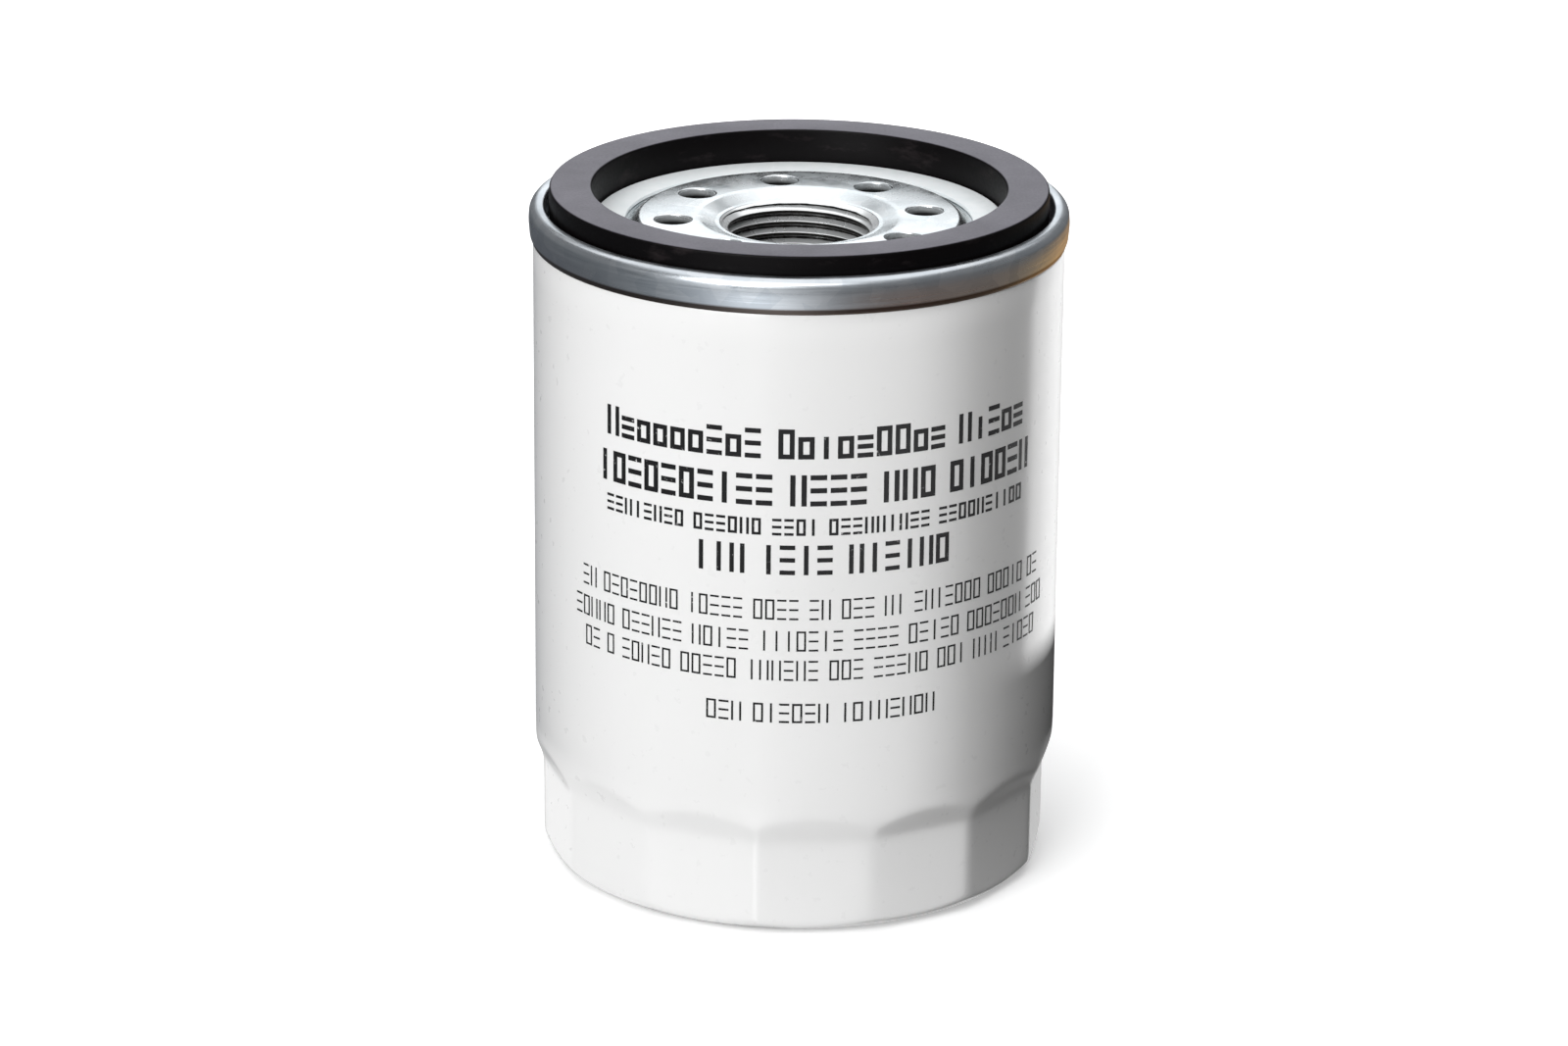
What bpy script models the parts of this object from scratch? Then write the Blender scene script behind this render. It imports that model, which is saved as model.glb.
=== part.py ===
"""Spin-on oil filter for a small engine, standing on its closed end with its threaded end up.

Run it with blender --background --python part.py, or from Blender's text editor.

Sizes here are in millimetres and angles in degrees; the meshes are made in metres. Z is the axis of
the filter, z = 0 is the plane that the closed end rests on, and +Z points out of the threaded end.
"""

import math

import bmesh
import bpy
from mathutils import Matrix, Vector

MM = 0.001  # one millimetre in Blender's metres

# Resolution
CASE_STEPS = 42  # facets round the case, lid and gasket: three to each wrench flat
PLATE_STEPS = 36  # facets round the base plate and its thread
CORE_STEPS = 28  # facets round the parts of the element
SMALL_STEPS = 20  # facets round the bypass valve
ARC_STEP = 46  # most degrees that one facet of a rounded corner turns through
MERGE = 0.00001  # metres: how near the axis a turned profile's ends are closed

# Fits
SNUG = 0.1  # gap between pieces that touch on the real filter
SLIDE = 0.2  # radial gap between pieces that slide on each other

# Case
CASE_R = 34.0
CASE_SHEET = 0.4
CASE_LIP_R = 34.28
CASE_LIP_Z = 87.3
CASE_LIP_BEND_Z = 86.9
FLUTES = 14
FLUTE_FLAT_R = 32.5  # half of the 65 mm across the wrench flats
FLUTE_TOP_Z = 13.2  # where the flats reach their full depth
FLUTE_SLOPE = 0.42  # how far the wall runs out for each unit it climbs above the flats
FLUTE_PHASE = -8.5  # from the front, -Y, towards +X, to the nearest ridge
FLOOR_CORNER = 4.5
FLOOR_RECESS_R = 18.5
FLOOR_RECESS = 0.9

# Lid, with the groove for the gasket and the rolled seam
LID_SHEET = 0.45
LID_HOLE_R = 22.45
LID_SHOULDER = 0.4  # width of the bend between the groove and the ring
LID_RING_TOP = 86.25
GROOVE_FLOOR = 85.05
GROOVE_INNER_R = 26.53
SHOULDER_TOP = 86.5  # top of the lid's ring beside the groove
SEAM_INNER_R = 32.8
SEAM_OUTER_R = 34.8
SEAM_TOP = 88.5
SEAM_BOTTOM = 83.75
COMPOUND_TOP = 87.2  # sealing compound inside the seam
COMPOUND_BOTTOM = 84.9

# Gasket
GASKET_INNER_R = 26.65
GASKET_OUTER_R = 32.2
GASKET_TOP = 90.8
GASKET_EDGE = 0.35

# Base plate and its M20 x 1.5 thread
PLATE_R = 32.5
PLATE_SHEET = 2.8
PLATE_TOP = 86.8  # top of the raised ring that holds the inlet holes
PLATE_MIDDLE_TOP = 85.7  # under the lid's inner ring
PLATE_EDGE_TOP = 84.5  # under the gasket's groove
PLATE_BOWL_R = 13.3  # where the raised ring falls away to the thread
PLATE_RAISED_R = 20.7  # outer edge of the raised ring
PLATE_SLOPE_R = 22.0
PLATE_STEP_R = 24.7
PLATE_STEP = 1.0  # width of the slope down to the edge
INLETS = 8
INLET_R = 2.35
INLET_CIRCLE_R = 16.4
INLET_PHASE = -9.0  # from the back, +Y, towards +X, to the nearest inlet
THREAD_MAJOR_R = 10.0
THREAD_MINOR_R = 9.19
THREAD_PITCH = 1.5
THREAD_RIM_R = 10.3
THREAD_RIM_Z = 85.9
THREAD_RIM_DROP = 0.75  # depth of the countersink above the thread
THREAD_RIM_FLAT = 0.5
HUB_R = 12.6
HUB_END_Z = 78.4

# Filter element
END_CAP_SHEET = 0.4
END_CAP_R = 28.8
END_CAP_LIP = 3.0
END_CAP_BEND = 0.4
ELEMENT_TOP = 77.6
ELEMENT_BOTTOM = 13.5
POTTING = 1.6
TUBE_INNER_R = 13.0
TUBE_SHEET = 0.5
TUBE_HOLE_R = 2.6
TUBE_HOLE_ROWS = 4
TUBE_HOLES_ROUND = 6
PLEATS = 40
PLEAT_INNER_R = 14.8
PLEAT_OUTER_R = 27.6
PLEAT_TIP_WIDTH = 0.9
PAPER = 0.6
CLIP_SHEET = 0.35
CLIP_DEPTH = 5.5
CLIP_PLAY = 0.05  # half of the gap between the two ends of the paper

# Anti-drain valve
VALVE_LIP_R = 23.8
VALVE_FLANGE_R = 16.4
VALVE_FLANGE = 1.5
VALVE_SLEEVE_TOP = 81.0
VALVE_SLEEVE = 1.2

# Bypass valve, in the closed end of the element
SEAT_BORE_R = 6.2
SEAT_NECK_R = 7.7
SEAT_FLANGE_R = 10.8
SEAT_LIP_Z = 15.0
CAGE_SHEET = 0.4
CAGE_R = 9.1
CAGE_FLANGE_R = 12.6
CAGE_TOP = 30.0
CAGE_WINDOWS = 4
CAGE_WINDOW_R = 2.8
CAGE_WINDOW_STRETCH = 1.9  # height of a window over its width
POPPET_R = 8.0
POPPET_Z = 15.9
POPPET_DISC = 0.8
STEM_R = 1.4
STEM_TOP = 33.5
SEAL_BORE_R = 5.5

# Springs
BYPASS_WIRE = 0.9
BYPASS_COIL_R = 5.4
BYPASS_TURNS = 6.0
SUPPORT_WIRE = 2.0
SUPPORT_COIL_R = 20.4
SUPPORT_TURNS = 4.0
SPRING_SEAT_SHEET = 0.5
SPRING_SEAT_R = 23.4
SPRING_SEAT_LIP = 2.2
SPRING_SEAT_LIP_R = 18.55
DEAD_PITCH = 1.06  # pitch of a spring's closed end turns, in wire diameters

ELEMENT_CAP_UNDER = ELEMENT_TOP - END_CAP_SHEET
ELEMENT_FLOOR = ELEMENT_BOTTOM + END_CAP_SHEET
TUBE_OUTER_R = TUBE_INNER_R + TUBE_SHEET
MEDIA_BOTTOM = ELEMENT_FLOOR + POTTING + 2 * SNUG
MEDIA_TOP = ELEMENT_CAP_UNDER - POTTING - 2 * SNUG


# Scene and materials


def clear_scene():
    for obj in list(bpy.data.objects):
        bpy.data.objects.remove(obj)


def new_collection(name):
    collection = bpy.data.collections.new(name)
    bpy.context.scene.collection.children.link(collection)
    return collection


def new_material(name, colour, roughness, metallic=0.0):
    material = bpy.data.materials.new(name)
    material.use_nodes = True
    shader = material.node_tree.nodes["Principled BSDF"]
    shader.inputs["Base Color"].default_value = (*colour, 1.0)
    shader.inputs["Roughness"].default_value = roughness
    shader.inputs["Metallic"].default_value = metallic
    return material


clear_scene()
PARTS = new_collection("oil_filter")
CUTTERS = new_collection("cutters")

WHITE_PAINT = new_material("white_paint", (0.86, 0.86, 0.85), 0.3)
ZINC = new_material("zinc_plated_steel", (0.66, 0.68, 0.71), 0.3, 1.0)
TIN = new_material("tinned_steel", (0.62, 0.6, 0.56), 0.35, 1.0)
SPRING_STEEL = new_material("spring_steel", (0.34, 0.34, 0.36), 0.35, 1.0)
BLACK_RUBBER = new_material("black_rubber", (0.03, 0.028, 0.032), 0.5)
PAPER_TAN = new_material("filter_paper", (0.72, 0.55, 0.3), 0.9)
POTTING_GREY = new_material("potting_compound", (0.35, 0.33, 0.3), 0.6)
SEALANT = new_material("seam_sealant", (0.24, 0.3, 0.26), 0.6)


# Ways of making a shape


def place(name, mesh, material=None, cutter=False):
    """An object that holds mesh, among the parts or among the cutters."""
    obj = bpy.data.objects.new(name, mesh)
    (CUTTERS if cutter else PARTS).objects.link(obj)
    if material:
        mesh.materials.append(material)
    if cutter:
        obj.hide_render = True
        obj.display_type = "WIRE"
    return obj


def shade(mesh):
    mesh.shade_smooth()
    mesh.set_sharp_from_angle(angle=math.radians(30))


def baked_mesh(obj):
    """The object's mesh with its modifiers applied. The object itself is removed."""
    bpy.context.view_layer.update()
    graph = bpy.context.evaluated_depsgraph_get()
    mesh = bpy.data.meshes.new_from_object(obj.evaluated_get(graph))
    bpy.data.objects.remove(obj)
    return mesh


def rounded(corners):
    """Points of an outline from (r, z) corners. A corner (r, z, radius) is rounded by an arc."""
    points = []
    for index, corner in enumerate(corners):
        here = Vector(corner[:2])
        if len(corner) < 3:
            points.append(tuple(here))
            continue
        radius = corner[2]
        back = (Vector(corners[index - 1][:2]) - here).normalized()
        ahead = (Vector(corners[(index + 1) % len(corners)][:2]) - here).normalized()
        half = back.angle(ahead) / 2
        centre = here + (back + ahead).normalized() * radius / math.sin(half)
        start = here + back * radius / math.tan(half) - centre
        end = here + ahead * radius / math.tan(half) - centre
        first = math.atan2(start.y, start.x)
        turn = (math.atan2(end.y, end.x) - first + math.pi) % math.tau - math.pi
        steps = max(1, math.ceil(abs(math.degrees(turn)) / ARC_STEP))
        for step in range(steps + 1):
            angle = first + turn * step / steps
            points.append((centre.x + radius * math.cos(angle), centre.y + radius * math.sin(angle)))
    return points


def turned_skin(name, points, steps, closed):
    """An object whose (r, z) outline is turned about Z. The outline runs down its outer side."""
    mesh = bpy.data.meshes.new(name)
    edges = [(i, i + 1) for i in range(len(points) - 1)]
    if closed:
        edges.append((len(points) - 1, 0))
    mesh.from_pydata([(r * MM, 0, z * MM) for r, z in points], edges, [])
    obj = place(name, mesh)
    screw = obj.modifiers.new("turn", "SCREW")
    screw.steps = steps
    screw.render_steps = steps
    screw.use_merge_vertices = True
    screw.merge_threshold = MERGE
    return obj


def turned(name, corners, material, steps):
    """A solid turned about Z. An outline that starts and ends on the axis is closed by it."""
    points = rounded(corners)
    mesh = baked_mesh(turned_skin(name, points, steps, closed=points[0][0] > 0))
    mesh.name = name
    shade(mesh)
    return place(name, mesh, material)


def thickened(obj, thickness, offset):
    """Gives a skin its sheet thickness: offset 0 to both sides, -1 to the inner side."""
    solid = obj.modifiers.new("sheet", "SOLIDIFY")
    solid.thickness = thickness * MM
    solid.offset = offset
    solid.use_even_offset = True
    return obj


def pressed_sheet(name, corners, thickness, material, steps):
    """A round sheet metal pressing. The corners are those of the middle of the sheet."""
    skin = turned_skin(name, rounded(corners), steps, closed=False)
    mesh = baked_mesh(thickened(skin, thickness, 0))
    mesh.name = name
    shade(mesh)
    return place(name, mesh, material)


def cut_away(obj, cutter):
    """Takes the cutter out of the object."""
    difference = obj.modifiers.new(cutter.name, "BOOLEAN")
    difference.operation = "DIFFERENCE"
    difference.object = cutter


def round_cutters(name, matrices, radius, length, sides):
    """One cutter of separate rods, each along the local Z of its matrix and centred on it."""
    mesh = bpy.data.meshes.new(name)
    build = bmesh.new()
    for matrix in matrices:
        bmesh.ops.create_cone(
            build, cap_ends=True, segments=sides, radius1=radius * MM, radius2=radius * MM,
            depth=length * MM, matrix=matrix,
        )
    build.to_mesh(mesh)
    build.free()
    return place(name, mesh, cutter=True)


def on_circle(radius, angle, z):
    """A point at an angle from +X, as a vector in metres."""
    return Vector((radius * math.cos(angle), radius * math.sin(angle), z)) * MM


def radial_matrix(radius, angle, z):
    """The matrix of a rod that lies along a radius."""
    lying = Matrix.Rotation(angle, 4, "Z") @ Matrix.Rotation(math.pi / 2, 4, "Y")
    return Matrix.Translation(on_circle(radius, angle, z)) @ lying


def coil(name, radius, wire, turns, bottom, top, points_round, material):
    """A coil spring with one closed turn at each end, its wire lying between two heights."""
    dead_rise = wire * DEAD_PITCH
    low = bottom + wire / 2
    high = top - wire / 2
    live_rise = (high - low - 2 * dead_rise) / (turns - 2)
    count = round(turns * points_round)
    curve = bpy.data.curves.new(name, "CURVE")
    curve.dimensions = "3D"
    curve.bevel_depth = wire / 2 * MM
    curve.bevel_resolution = 2
    curve.use_fill_caps = True
    spline = curve.splines.new("POLY")
    spline.points.add(count)
    for index, point in enumerate(spline.points):
        turn = turns * index / count
        live_turns = min(max(turn - 1, 0), turns - 2)
        dead_turns = turn - live_turns
        z = low + dead_rise * dead_turns + live_rise * live_turns
        point.co = (*on_circle(radius, math.tau * turn, z), 1)
    return place(name, curve, material)


# Case, seam, gasket and base plate


def wrench_limit(angle, z):
    """Greatest radius of the fluted case at an angle from +X, in radians, and a height."""
    pitch = math.tau / FLUTES
    ridge = math.radians(FLUTE_PHASE - 90)
    off_flat = (angle - ridge) % pitch - pitch / 2
    flat = FLUTE_FLAT_R / math.cos(off_flat)
    return flat + max(0.0, z - FLUTE_TOP_Z) * FLUTE_SLOPE


def press_flutes(mesh):
    """Presses the wrench flats into the closed end of the case."""
    for vertex in mesh.vertices:
        radius = math.hypot(vertex.co.x, vertex.co.y)
        limit = wrench_limit(math.atan2(vertex.co.y, vertex.co.x), vertex.co.z / MM) * MM
        if radius > limit:
            vertex.co.x *= limit / radius
            vertex.co.y *= limit / radius


def make_case():
    """The deep-drawn case: outside outline from its flared lip down to the recess in its floor."""
    ridge_r = FLUTE_FLAT_R / math.cos(math.pi / FLUTES)
    run_out = (CASE_R - FLUTE_FLAT_R) / FLUTE_SLOPE
    outline = [
        (CASE_LIP_R, CASE_LIP_Z),
        (CASE_R, CASE_LIP_BEND_Z),
        (CASE_R, FLUTE_TOP_Z + run_out + 1),
    ]
    rows = 3
    outline += [(CASE_R, FLUTE_TOP_Z + run_out * (rows - row) / rows) for row in range(rows)]
    outline += [
        (ridge_r, FLUTE_TOP_Z),
        (ridge_r, 0, FLOOR_CORNER),
        (FLOOR_RECESS_R + 1.2, 0),
        (FLOOR_RECESS_R, FLOOR_RECESS),
        (0, FLOOR_RECESS),
    ]
    mesh = baked_mesh(turned_skin("case", rounded(outline), CASE_STEPS, closed=False))
    mesh.transform(Matrix.Rotation(math.radians(FLUTE_PHASE - 90), 4, "Z"))
    press_flutes(mesh)
    mesh.name = "case"
    shade(mesh)
    return thickened(place("case", mesh, WHITE_PAINT), CASE_SHEET, -1)


def align_with_case(obj):
    """Turns a ring's facets so that they lie along those of the case."""
    obj.data.transform(Matrix.Rotation(math.radians(FLUTE_PHASE - 90), 4, "Z"))
    return obj


def make_lid():
    """The thin lid: a ring, the groove that holds the gasket, and the seam rolled over the case."""
    half = LID_SHEET / 2
    wall_r = SEAM_INNER_R + half
    outer_r = SEAM_OUTER_R - half
    floor = GROOVE_FLOOR - half
    corners = [
        (outer_r - 0.35, SEAM_BOTTOM + half),
        (outer_r, SEAM_BOTTOM + 0.7),
        (outer_r, SEAM_TOP - half, 0.9),
        (wall_r, SEAM_TOP - half, 0.4),
        (wall_r, floor),
        (GROOVE_INNER_R - half, floor),
        (GROOVE_INNER_R - half, SHOULDER_TOP - half - 0.1),
        (GROOVE_INNER_R - half - LID_SHOULDER, SHOULDER_TOP - half),
        (LID_HOLE_R, LID_RING_TOP - half),
    ]
    return align_with_case(pressed_sheet("seaming_lid", corners[::-1], LID_SHEET, ZINC, CASE_STEPS))


def make_seam_compound():
    """The thin ring of sealing compound between the lid's wall and the case."""
    inner = SEAM_INNER_R + LID_SHEET + 0.05
    outer = CASE_R - CASE_SHEET - 0.08
    corners = [
        (outer, COMPOUND_TOP),
        (outer, COMPOUND_BOTTOM),
        (inner, COMPOUND_BOTTOM),
        (inner, COMPOUND_TOP),
    ]
    return align_with_case(turned("seam_compound", corners, SEALANT, CASE_STEPS))


def make_gasket():
    low = GROOVE_FLOOR + 0.05
    corners = [
        (GASKET_OUTER_R, GASKET_TOP, GASKET_EDGE),
        (GASKET_OUTER_R, low, GASKET_EDGE),
        (GASKET_INNER_R, low, GASKET_EDGE),
        (GASKET_INNER_R, GASKET_TOP, GASKET_EDGE),
    ]
    return align_with_case(turned("gasket", corners, BLACK_RUBBER, CASE_STEPS))


def make_thread_cutter():
    """The helical groove of the thread, as a solid whose root lies inside the bore.

    It lies half a facet out of step with the plate, so that their edges cross and never coincide.
    """
    flank = math.tan(math.radians(30))
    root_r = THREAD_MINOR_R - 0.14
    crest_half = THREAD_PITCH / 16
    root_half = crest_half + (THREAD_MAJOR_R - root_r) * flank
    start = HUB_END_Z - THREAD_PITCH
    turns = math.ceil((THREAD_RIM_Z - start) / THREAD_PITCH + 0.5)
    outline = [
        (THREAD_MAJOR_R, start + crest_half),
        (THREAD_MAJOR_R, start - crest_half),
        (root_r, start - root_half),
        (root_r, start + root_half),
    ]
    skin = turned_skin("thread_groove", outline, PLATE_STEPS, closed=True)
    screw = skin.modifiers["turn"]
    screw.screw_offset = THREAD_PITCH * MM
    screw.iterations = turns
    mesh = baked_mesh(skin)
    build = bmesh.new()
    build.from_mesh(mesh)
    bmesh.ops.holes_fill(build, edges=build.edges, sides=len(outline))
    bmesh.ops.recalc_face_normals(build, faces=build.faces)
    build.to_mesh(mesh)
    build.free()
    half_facet = math.pi / PLATE_STEPS
    mesh.transform(Matrix.Rotation(half_facet, 4, "Z"))
    return place("thread_groove", mesh, cutter=True)


def make_base_plate():
    """The thick plate: raised inlet ring, threaded hub and the flat edge that the lid is welded to."""
    corners = [
        (PLATE_R, PLATE_EDGE_TOP),
        (PLATE_R, PLATE_EDGE_TOP - PLATE_SHEET),
        (PLATE_STEP_R + PLATE_STEP, PLATE_EDGE_TOP - PLATE_SHEET),
        (PLATE_STEP_R, PLATE_MIDDLE_TOP - PLATE_SHEET),
        (PLATE_SLOPE_R, PLATE_MIDDLE_TOP - PLATE_SHEET),
        (PLATE_RAISED_R, PLATE_TOP - PLATE_SHEET),
        (HUB_R, PLATE_TOP - PLATE_SHEET),
        (HUB_R, HUB_END_Z),
        (THREAD_MINOR_R + 0.5, HUB_END_Z),
        (THREAD_MINOR_R, HUB_END_Z + 0.5),
        (THREAD_MINOR_R, THREAD_RIM_Z - THREAD_RIM_DROP),
        (THREAD_RIM_R, THREAD_RIM_Z),
        (THREAD_RIM_R + THREAD_RIM_FLAT, THREAD_RIM_Z),
        (PLATE_BOWL_R, PLATE_TOP, 2.0),
        (PLATE_RAISED_R, PLATE_TOP, 0.9),
        (PLATE_SLOPE_R, PLATE_MIDDLE_TOP, 0.9),
        (PLATE_STEP_R, PLATE_MIDDLE_TOP),
        (PLATE_STEP_R + PLATE_STEP, PLATE_EDGE_TOP),
    ]
    plate = turned("base_plate", corners, ZINC, PLATE_STEPS)
    matrices = []
    for number in range(INLETS):
        angle = math.radians(90 - INLET_PHASE) + math.tau * number / INLETS
        matrices.append(Matrix.Translation(on_circle(INLET_CIRCLE_R, angle, PLATE_TOP)))
    cut_away(plate, round_cutters("inlets", matrices, INLET_R, 4 * PLATE_SHEET, 12))
    cut_away(plate, make_thread_cutter())
    return plate


# Filter element


def make_anti_drain_valve():
    """The rubber valve: a sleeve round the hub, a flange on the element, and a lip under the plate."""
    low = ELEMENT_TOP + SNUG
    bore = HUB_R + SLIDE
    lip_top = PLATE_MIDDLE_TOP - PLATE_SHEET - SNUG
    corners = [
        (bore, VALVE_SLEEVE_TOP),
        (bore + VALVE_SLEEVE, VALVE_SLEEVE_TOP, 0.3),
        (bore + VALVE_SLEEVE + 0.2, low + VALVE_FLANGE + 0.5, 0.6),
        (VALVE_FLANGE_R, low + VALVE_FLANGE + 0.5, 0.9),
        (VALVE_LIP_R - 1.4, lip_top),
        (VALVE_LIP_R, lip_top, 0.2),
        (VALVE_LIP_R - 0.4, lip_top - 0.8, 0.2),
        (VALVE_FLANGE_R + 0.6, low, 0.6),
        (bore, low),
    ]
    return turned("anti_drain_valve", corners, BLACK_RUBBER, CORE_STEPS)


def make_top_end_cap():
    half = END_CAP_SHEET / 2
    collar_r = TUBE_OUTER_R + SNUG + half
    level = ELEMENT_TOP - half
    corners = [
        (collar_r, level - 2.0),
        (collar_r, level),
        (END_CAP_R - half - END_CAP_BEND, level),
        (END_CAP_R - half, level - END_CAP_BEND),
        (END_CAP_R - half, level - END_CAP_LIP),
    ]
    return pressed_sheet("top_end_cap", corners, END_CAP_SHEET, TIN, CORE_STEPS)


def make_bottom_end_cap():
    half = END_CAP_SHEET / 2
    level = ELEMENT_BOTTOM + half
    corners = [
        (SEAT_NECK_R + SLIDE, level),
        (END_CAP_R - half - END_CAP_BEND, level),
        (END_CAP_R - half, level + END_CAP_BEND),
        (END_CAP_R - half, level + END_CAP_LIP),
    ]
    return pressed_sheet("bottom_end_cap", corners, END_CAP_SHEET, TIN, CORE_STEPS)


def make_potting(name, low):
    """A disc of adhesive that bonds the pleats to an end cap."""
    inner = TUBE_OUTER_R + END_CAP_SHEET + 2 * SNUG + 0.1
    outer = END_CAP_R - END_CAP_SHEET - END_CAP_BEND
    corners = [(outer, low + POTTING), (outer, low), (inner, low), (inner, low + POTTING)]
    return turned(name, corners, POTTING_GREY, CORE_STEPS)


def pleat_point(radius, sideways, angle):
    """A point at a radius along a direction, and at a distance to its left."""
    along = Vector((math.cos(angle), math.sin(angle)))
    return along * radius + Vector((-along.y, along.x)) * sideways


def make_pleated_media():
    """One strip of paper folded into pleats. The first pleat is pinched where its ends are clipped."""
    half_tip = PLEAT_TIP_WIDTH / 2
    half_valley = half_tip * 0.6
    pinch = PAPER / 2 + CLIP_PLAY
    clip_start = PLEAT_OUTER_R - CLIP_DEPTH - 1
    points = []
    for number in range(PLEATS):
        angle = math.tau * number / PLEATS
        valley = angle + math.pi / PLEATS
        if number == 0:
            pleat = [(clip_start, -pinch), (PLEAT_OUTER_R, -pinch)]
            pleat += [(radius, -side) for radius, side in pleat[::-1]]
        else:
            pleat = [(PLEAT_OUTER_R, -half_tip), (PLEAT_OUTER_R, half_tip)]
        points += [pleat_point(radius, side, angle) for radius, side in pleat]
        points += [pleat_point(PLEAT_INNER_R, side, valley) for side in (-half_valley, half_valley)]
    mesh = bpy.data.meshes.new("pleated_media")
    build = bmesh.new()
    loop = [build.verts.new((point.x * MM, point.y * MM, MEDIA_BOTTOM * MM)) for point in points]
    edges = [build.edges.new((loop[i - 1], loop[i])) for i in range(len(loop))]
    raised = bmesh.ops.extrude_edge_only(build, edges=edges)["geom"]
    height = Vector((0, 0, (MEDIA_TOP - MEDIA_BOTTOM) * MM))
    upper = [item for item in raised if isinstance(item, bmesh.types.BMVert)]
    bmesh.ops.translate(build, vec=height, verts=upper)
    bmesh.ops.recalc_face_normals(build, faces=build.faces)
    build.to_mesh(mesh)
    build.free()
    return thickened(place("pleated_media", mesh, PAPER_TAN), PAPER, 0)


def make_media_clip():
    """The folded steel strip that clamps the two ends of the paper together."""
    half = CLIP_SHEET / 2
    outer_r = PLEAT_OUTER_R + PAPER / 2 + SNUG + half
    inner_r = PLEAT_OUTER_R - CLIP_DEPTH
    side = PAPER + CLIP_PLAY + SNUG + half
    ends = (MEDIA_BOTTOM + 1, MEDIA_TOP - 1)
    outline = [(inner_r, -side), (outer_r, -side), (outer_r, side), (inner_r, side)]
    mesh = bpy.data.meshes.new("media_clip")
    corners = [(x * MM, y * MM, z * MM) for z in ends for x, y in outline]
    mesh.from_pydata(corners, [], [(0, 1, 5, 4), (1, 2, 6, 5), (2, 3, 7, 6)])
    return thickened(place("media_clip", mesh, TIN), CLIP_SHEET, 0)


def make_centre_tube():
    """The perforated tube that holds the pleats open."""
    low = ELEMENT_FLOOR + SNUG
    high = ELEMENT_CAP_UNDER - SNUG
    corners = [(TUBE_OUTER_R, high), (TUBE_OUTER_R, low), (TUBE_INNER_R, low), (TUBE_INNER_R, high)]
    tube = turned("centre_tube", corners, TIN, CORE_STEPS)
    matrices = []
    for row in range(TUBE_HOLE_ROWS):
        z = low + (high - low) * (row + 0.75) / (TUBE_HOLE_ROWS + 0.5)
        for number in range(TUBE_HOLES_ROUND):
            angle = math.tau * (number + 0.5 * (row % 2)) / TUBE_HOLES_ROUND + 0.05
            matrices.append(radial_matrix(TUBE_INNER_R, angle, z))
    cut_away(tube, round_cutters("tube_holes", matrices, TUBE_HOLE_R, 6, 8))
    return tube


# Bypass valve


def make_bypass_seat():
    """The steel insert in the bottom end cap, with the narrow lip that the seal closes on."""
    flange_low = ELEMENT_FLOOR + SNUG
    corners = [
        (SEAT_BORE_R + 0.9, SEAT_LIP_Z),
        (SEAT_BORE_R + 1.1, flange_low + 0.6, 0.2),
        (SEAT_FLANGE_R, flange_low + 0.5, 0.1),
        (SEAT_FLANGE_R, flange_low),
        (SEAT_NECK_R, flange_low),
        (SEAT_NECK_R, ELEMENT_BOTTOM - 0.7, 0.3),
        (SEAT_BORE_R, ELEMENT_BOTTOM - 0.7),
        (SEAT_BORE_R, SEAT_LIP_Z - 0.3),
        (SEAT_BORE_R + 0.5, SEAT_LIP_Z),
    ]
    return turned("bypass_seat", corners, ZINC, SMALL_STEPS)


def make_bypass_cage():
    """The cup that holds the spring down and guides the poppet's stem, with windows for the oil."""
    half = CAGE_SHEET / 2
    flange_z = ELEMENT_FLOOR + 0.6 + 2 * SNUG + half
    corners = [
        (CAGE_FLANGE_R, flange_z),
        (CAGE_R, flange_z, 0.4),
        (CAGE_R, CAGE_TOP - half, 0.8),
        (STEM_R + SLIDE, CAGE_TOP - half),
    ]
    cage = pressed_sheet("bypass_cage", corners[::-1], CAGE_SHEET, TIN, SMALL_STEPS)
    matrices = []
    for number in range(CAGE_WINDOWS):
        angle = math.tau * (number + 0.5) / CAGE_WINDOWS
        stretched = Matrix.Diagonal((CAGE_WINDOW_STRETCH, 1, 1, 1))
        matrices.append(radial_matrix(CAGE_R, angle, (SEAT_LIP_Z + CAGE_TOP) / 2) @ stretched)
    cut_away(cage, round_cutters("cage_windows", matrices, CAGE_WINDOW_R, 5, 12))
    return cage


def make_bypass_poppet():
    """The steel disc and stem that lift off the seat when the paper is blocked."""
    corners = [
        (0, STEM_TOP),
        (STEM_R - 0.3, STEM_TOP),
        (STEM_R, STEM_TOP - 0.3),
        (STEM_R, POPPET_Z + POPPET_DISC, 0.4),
        (POPPET_R, POPPET_Z + POPPET_DISC, 0.3),
        (POPPET_R, POPPET_Z),
        (SEAL_BORE_R - SNUG, POPPET_Z),
        (SEAL_BORE_R - SNUG, SEAT_LIP_Z + SNUG, 0.3),
        (0, SEAT_LIP_Z + SNUG),
    ]
    return turned("bypass_poppet", corners, ZINC, SMALL_STEPS)


def make_bypass_seal():
    """The rubber ring under the poppet."""
    low = SEAT_LIP_Z + SNUG
    high = POPPET_Z - SNUG
    outer = POPPET_R - SNUG
    corners = [(outer, high), (outer, low, 0.15), (SEAL_BORE_R, low), (SEAL_BORE_R, high)]
    return turned("bypass_seal", corners, BLACK_RUBBER, SMALL_STEPS)


def make_bypass_spring():
    return coil(
        "bypass_spring", BYPASS_COIL_R, BYPASS_WIRE, BYPASS_TURNS, POPPET_Z + POPPET_DISC + SNUG,
        CAGE_TOP - CAGE_SHEET - SNUG, 12, SPRING_STEEL,
    )


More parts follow.
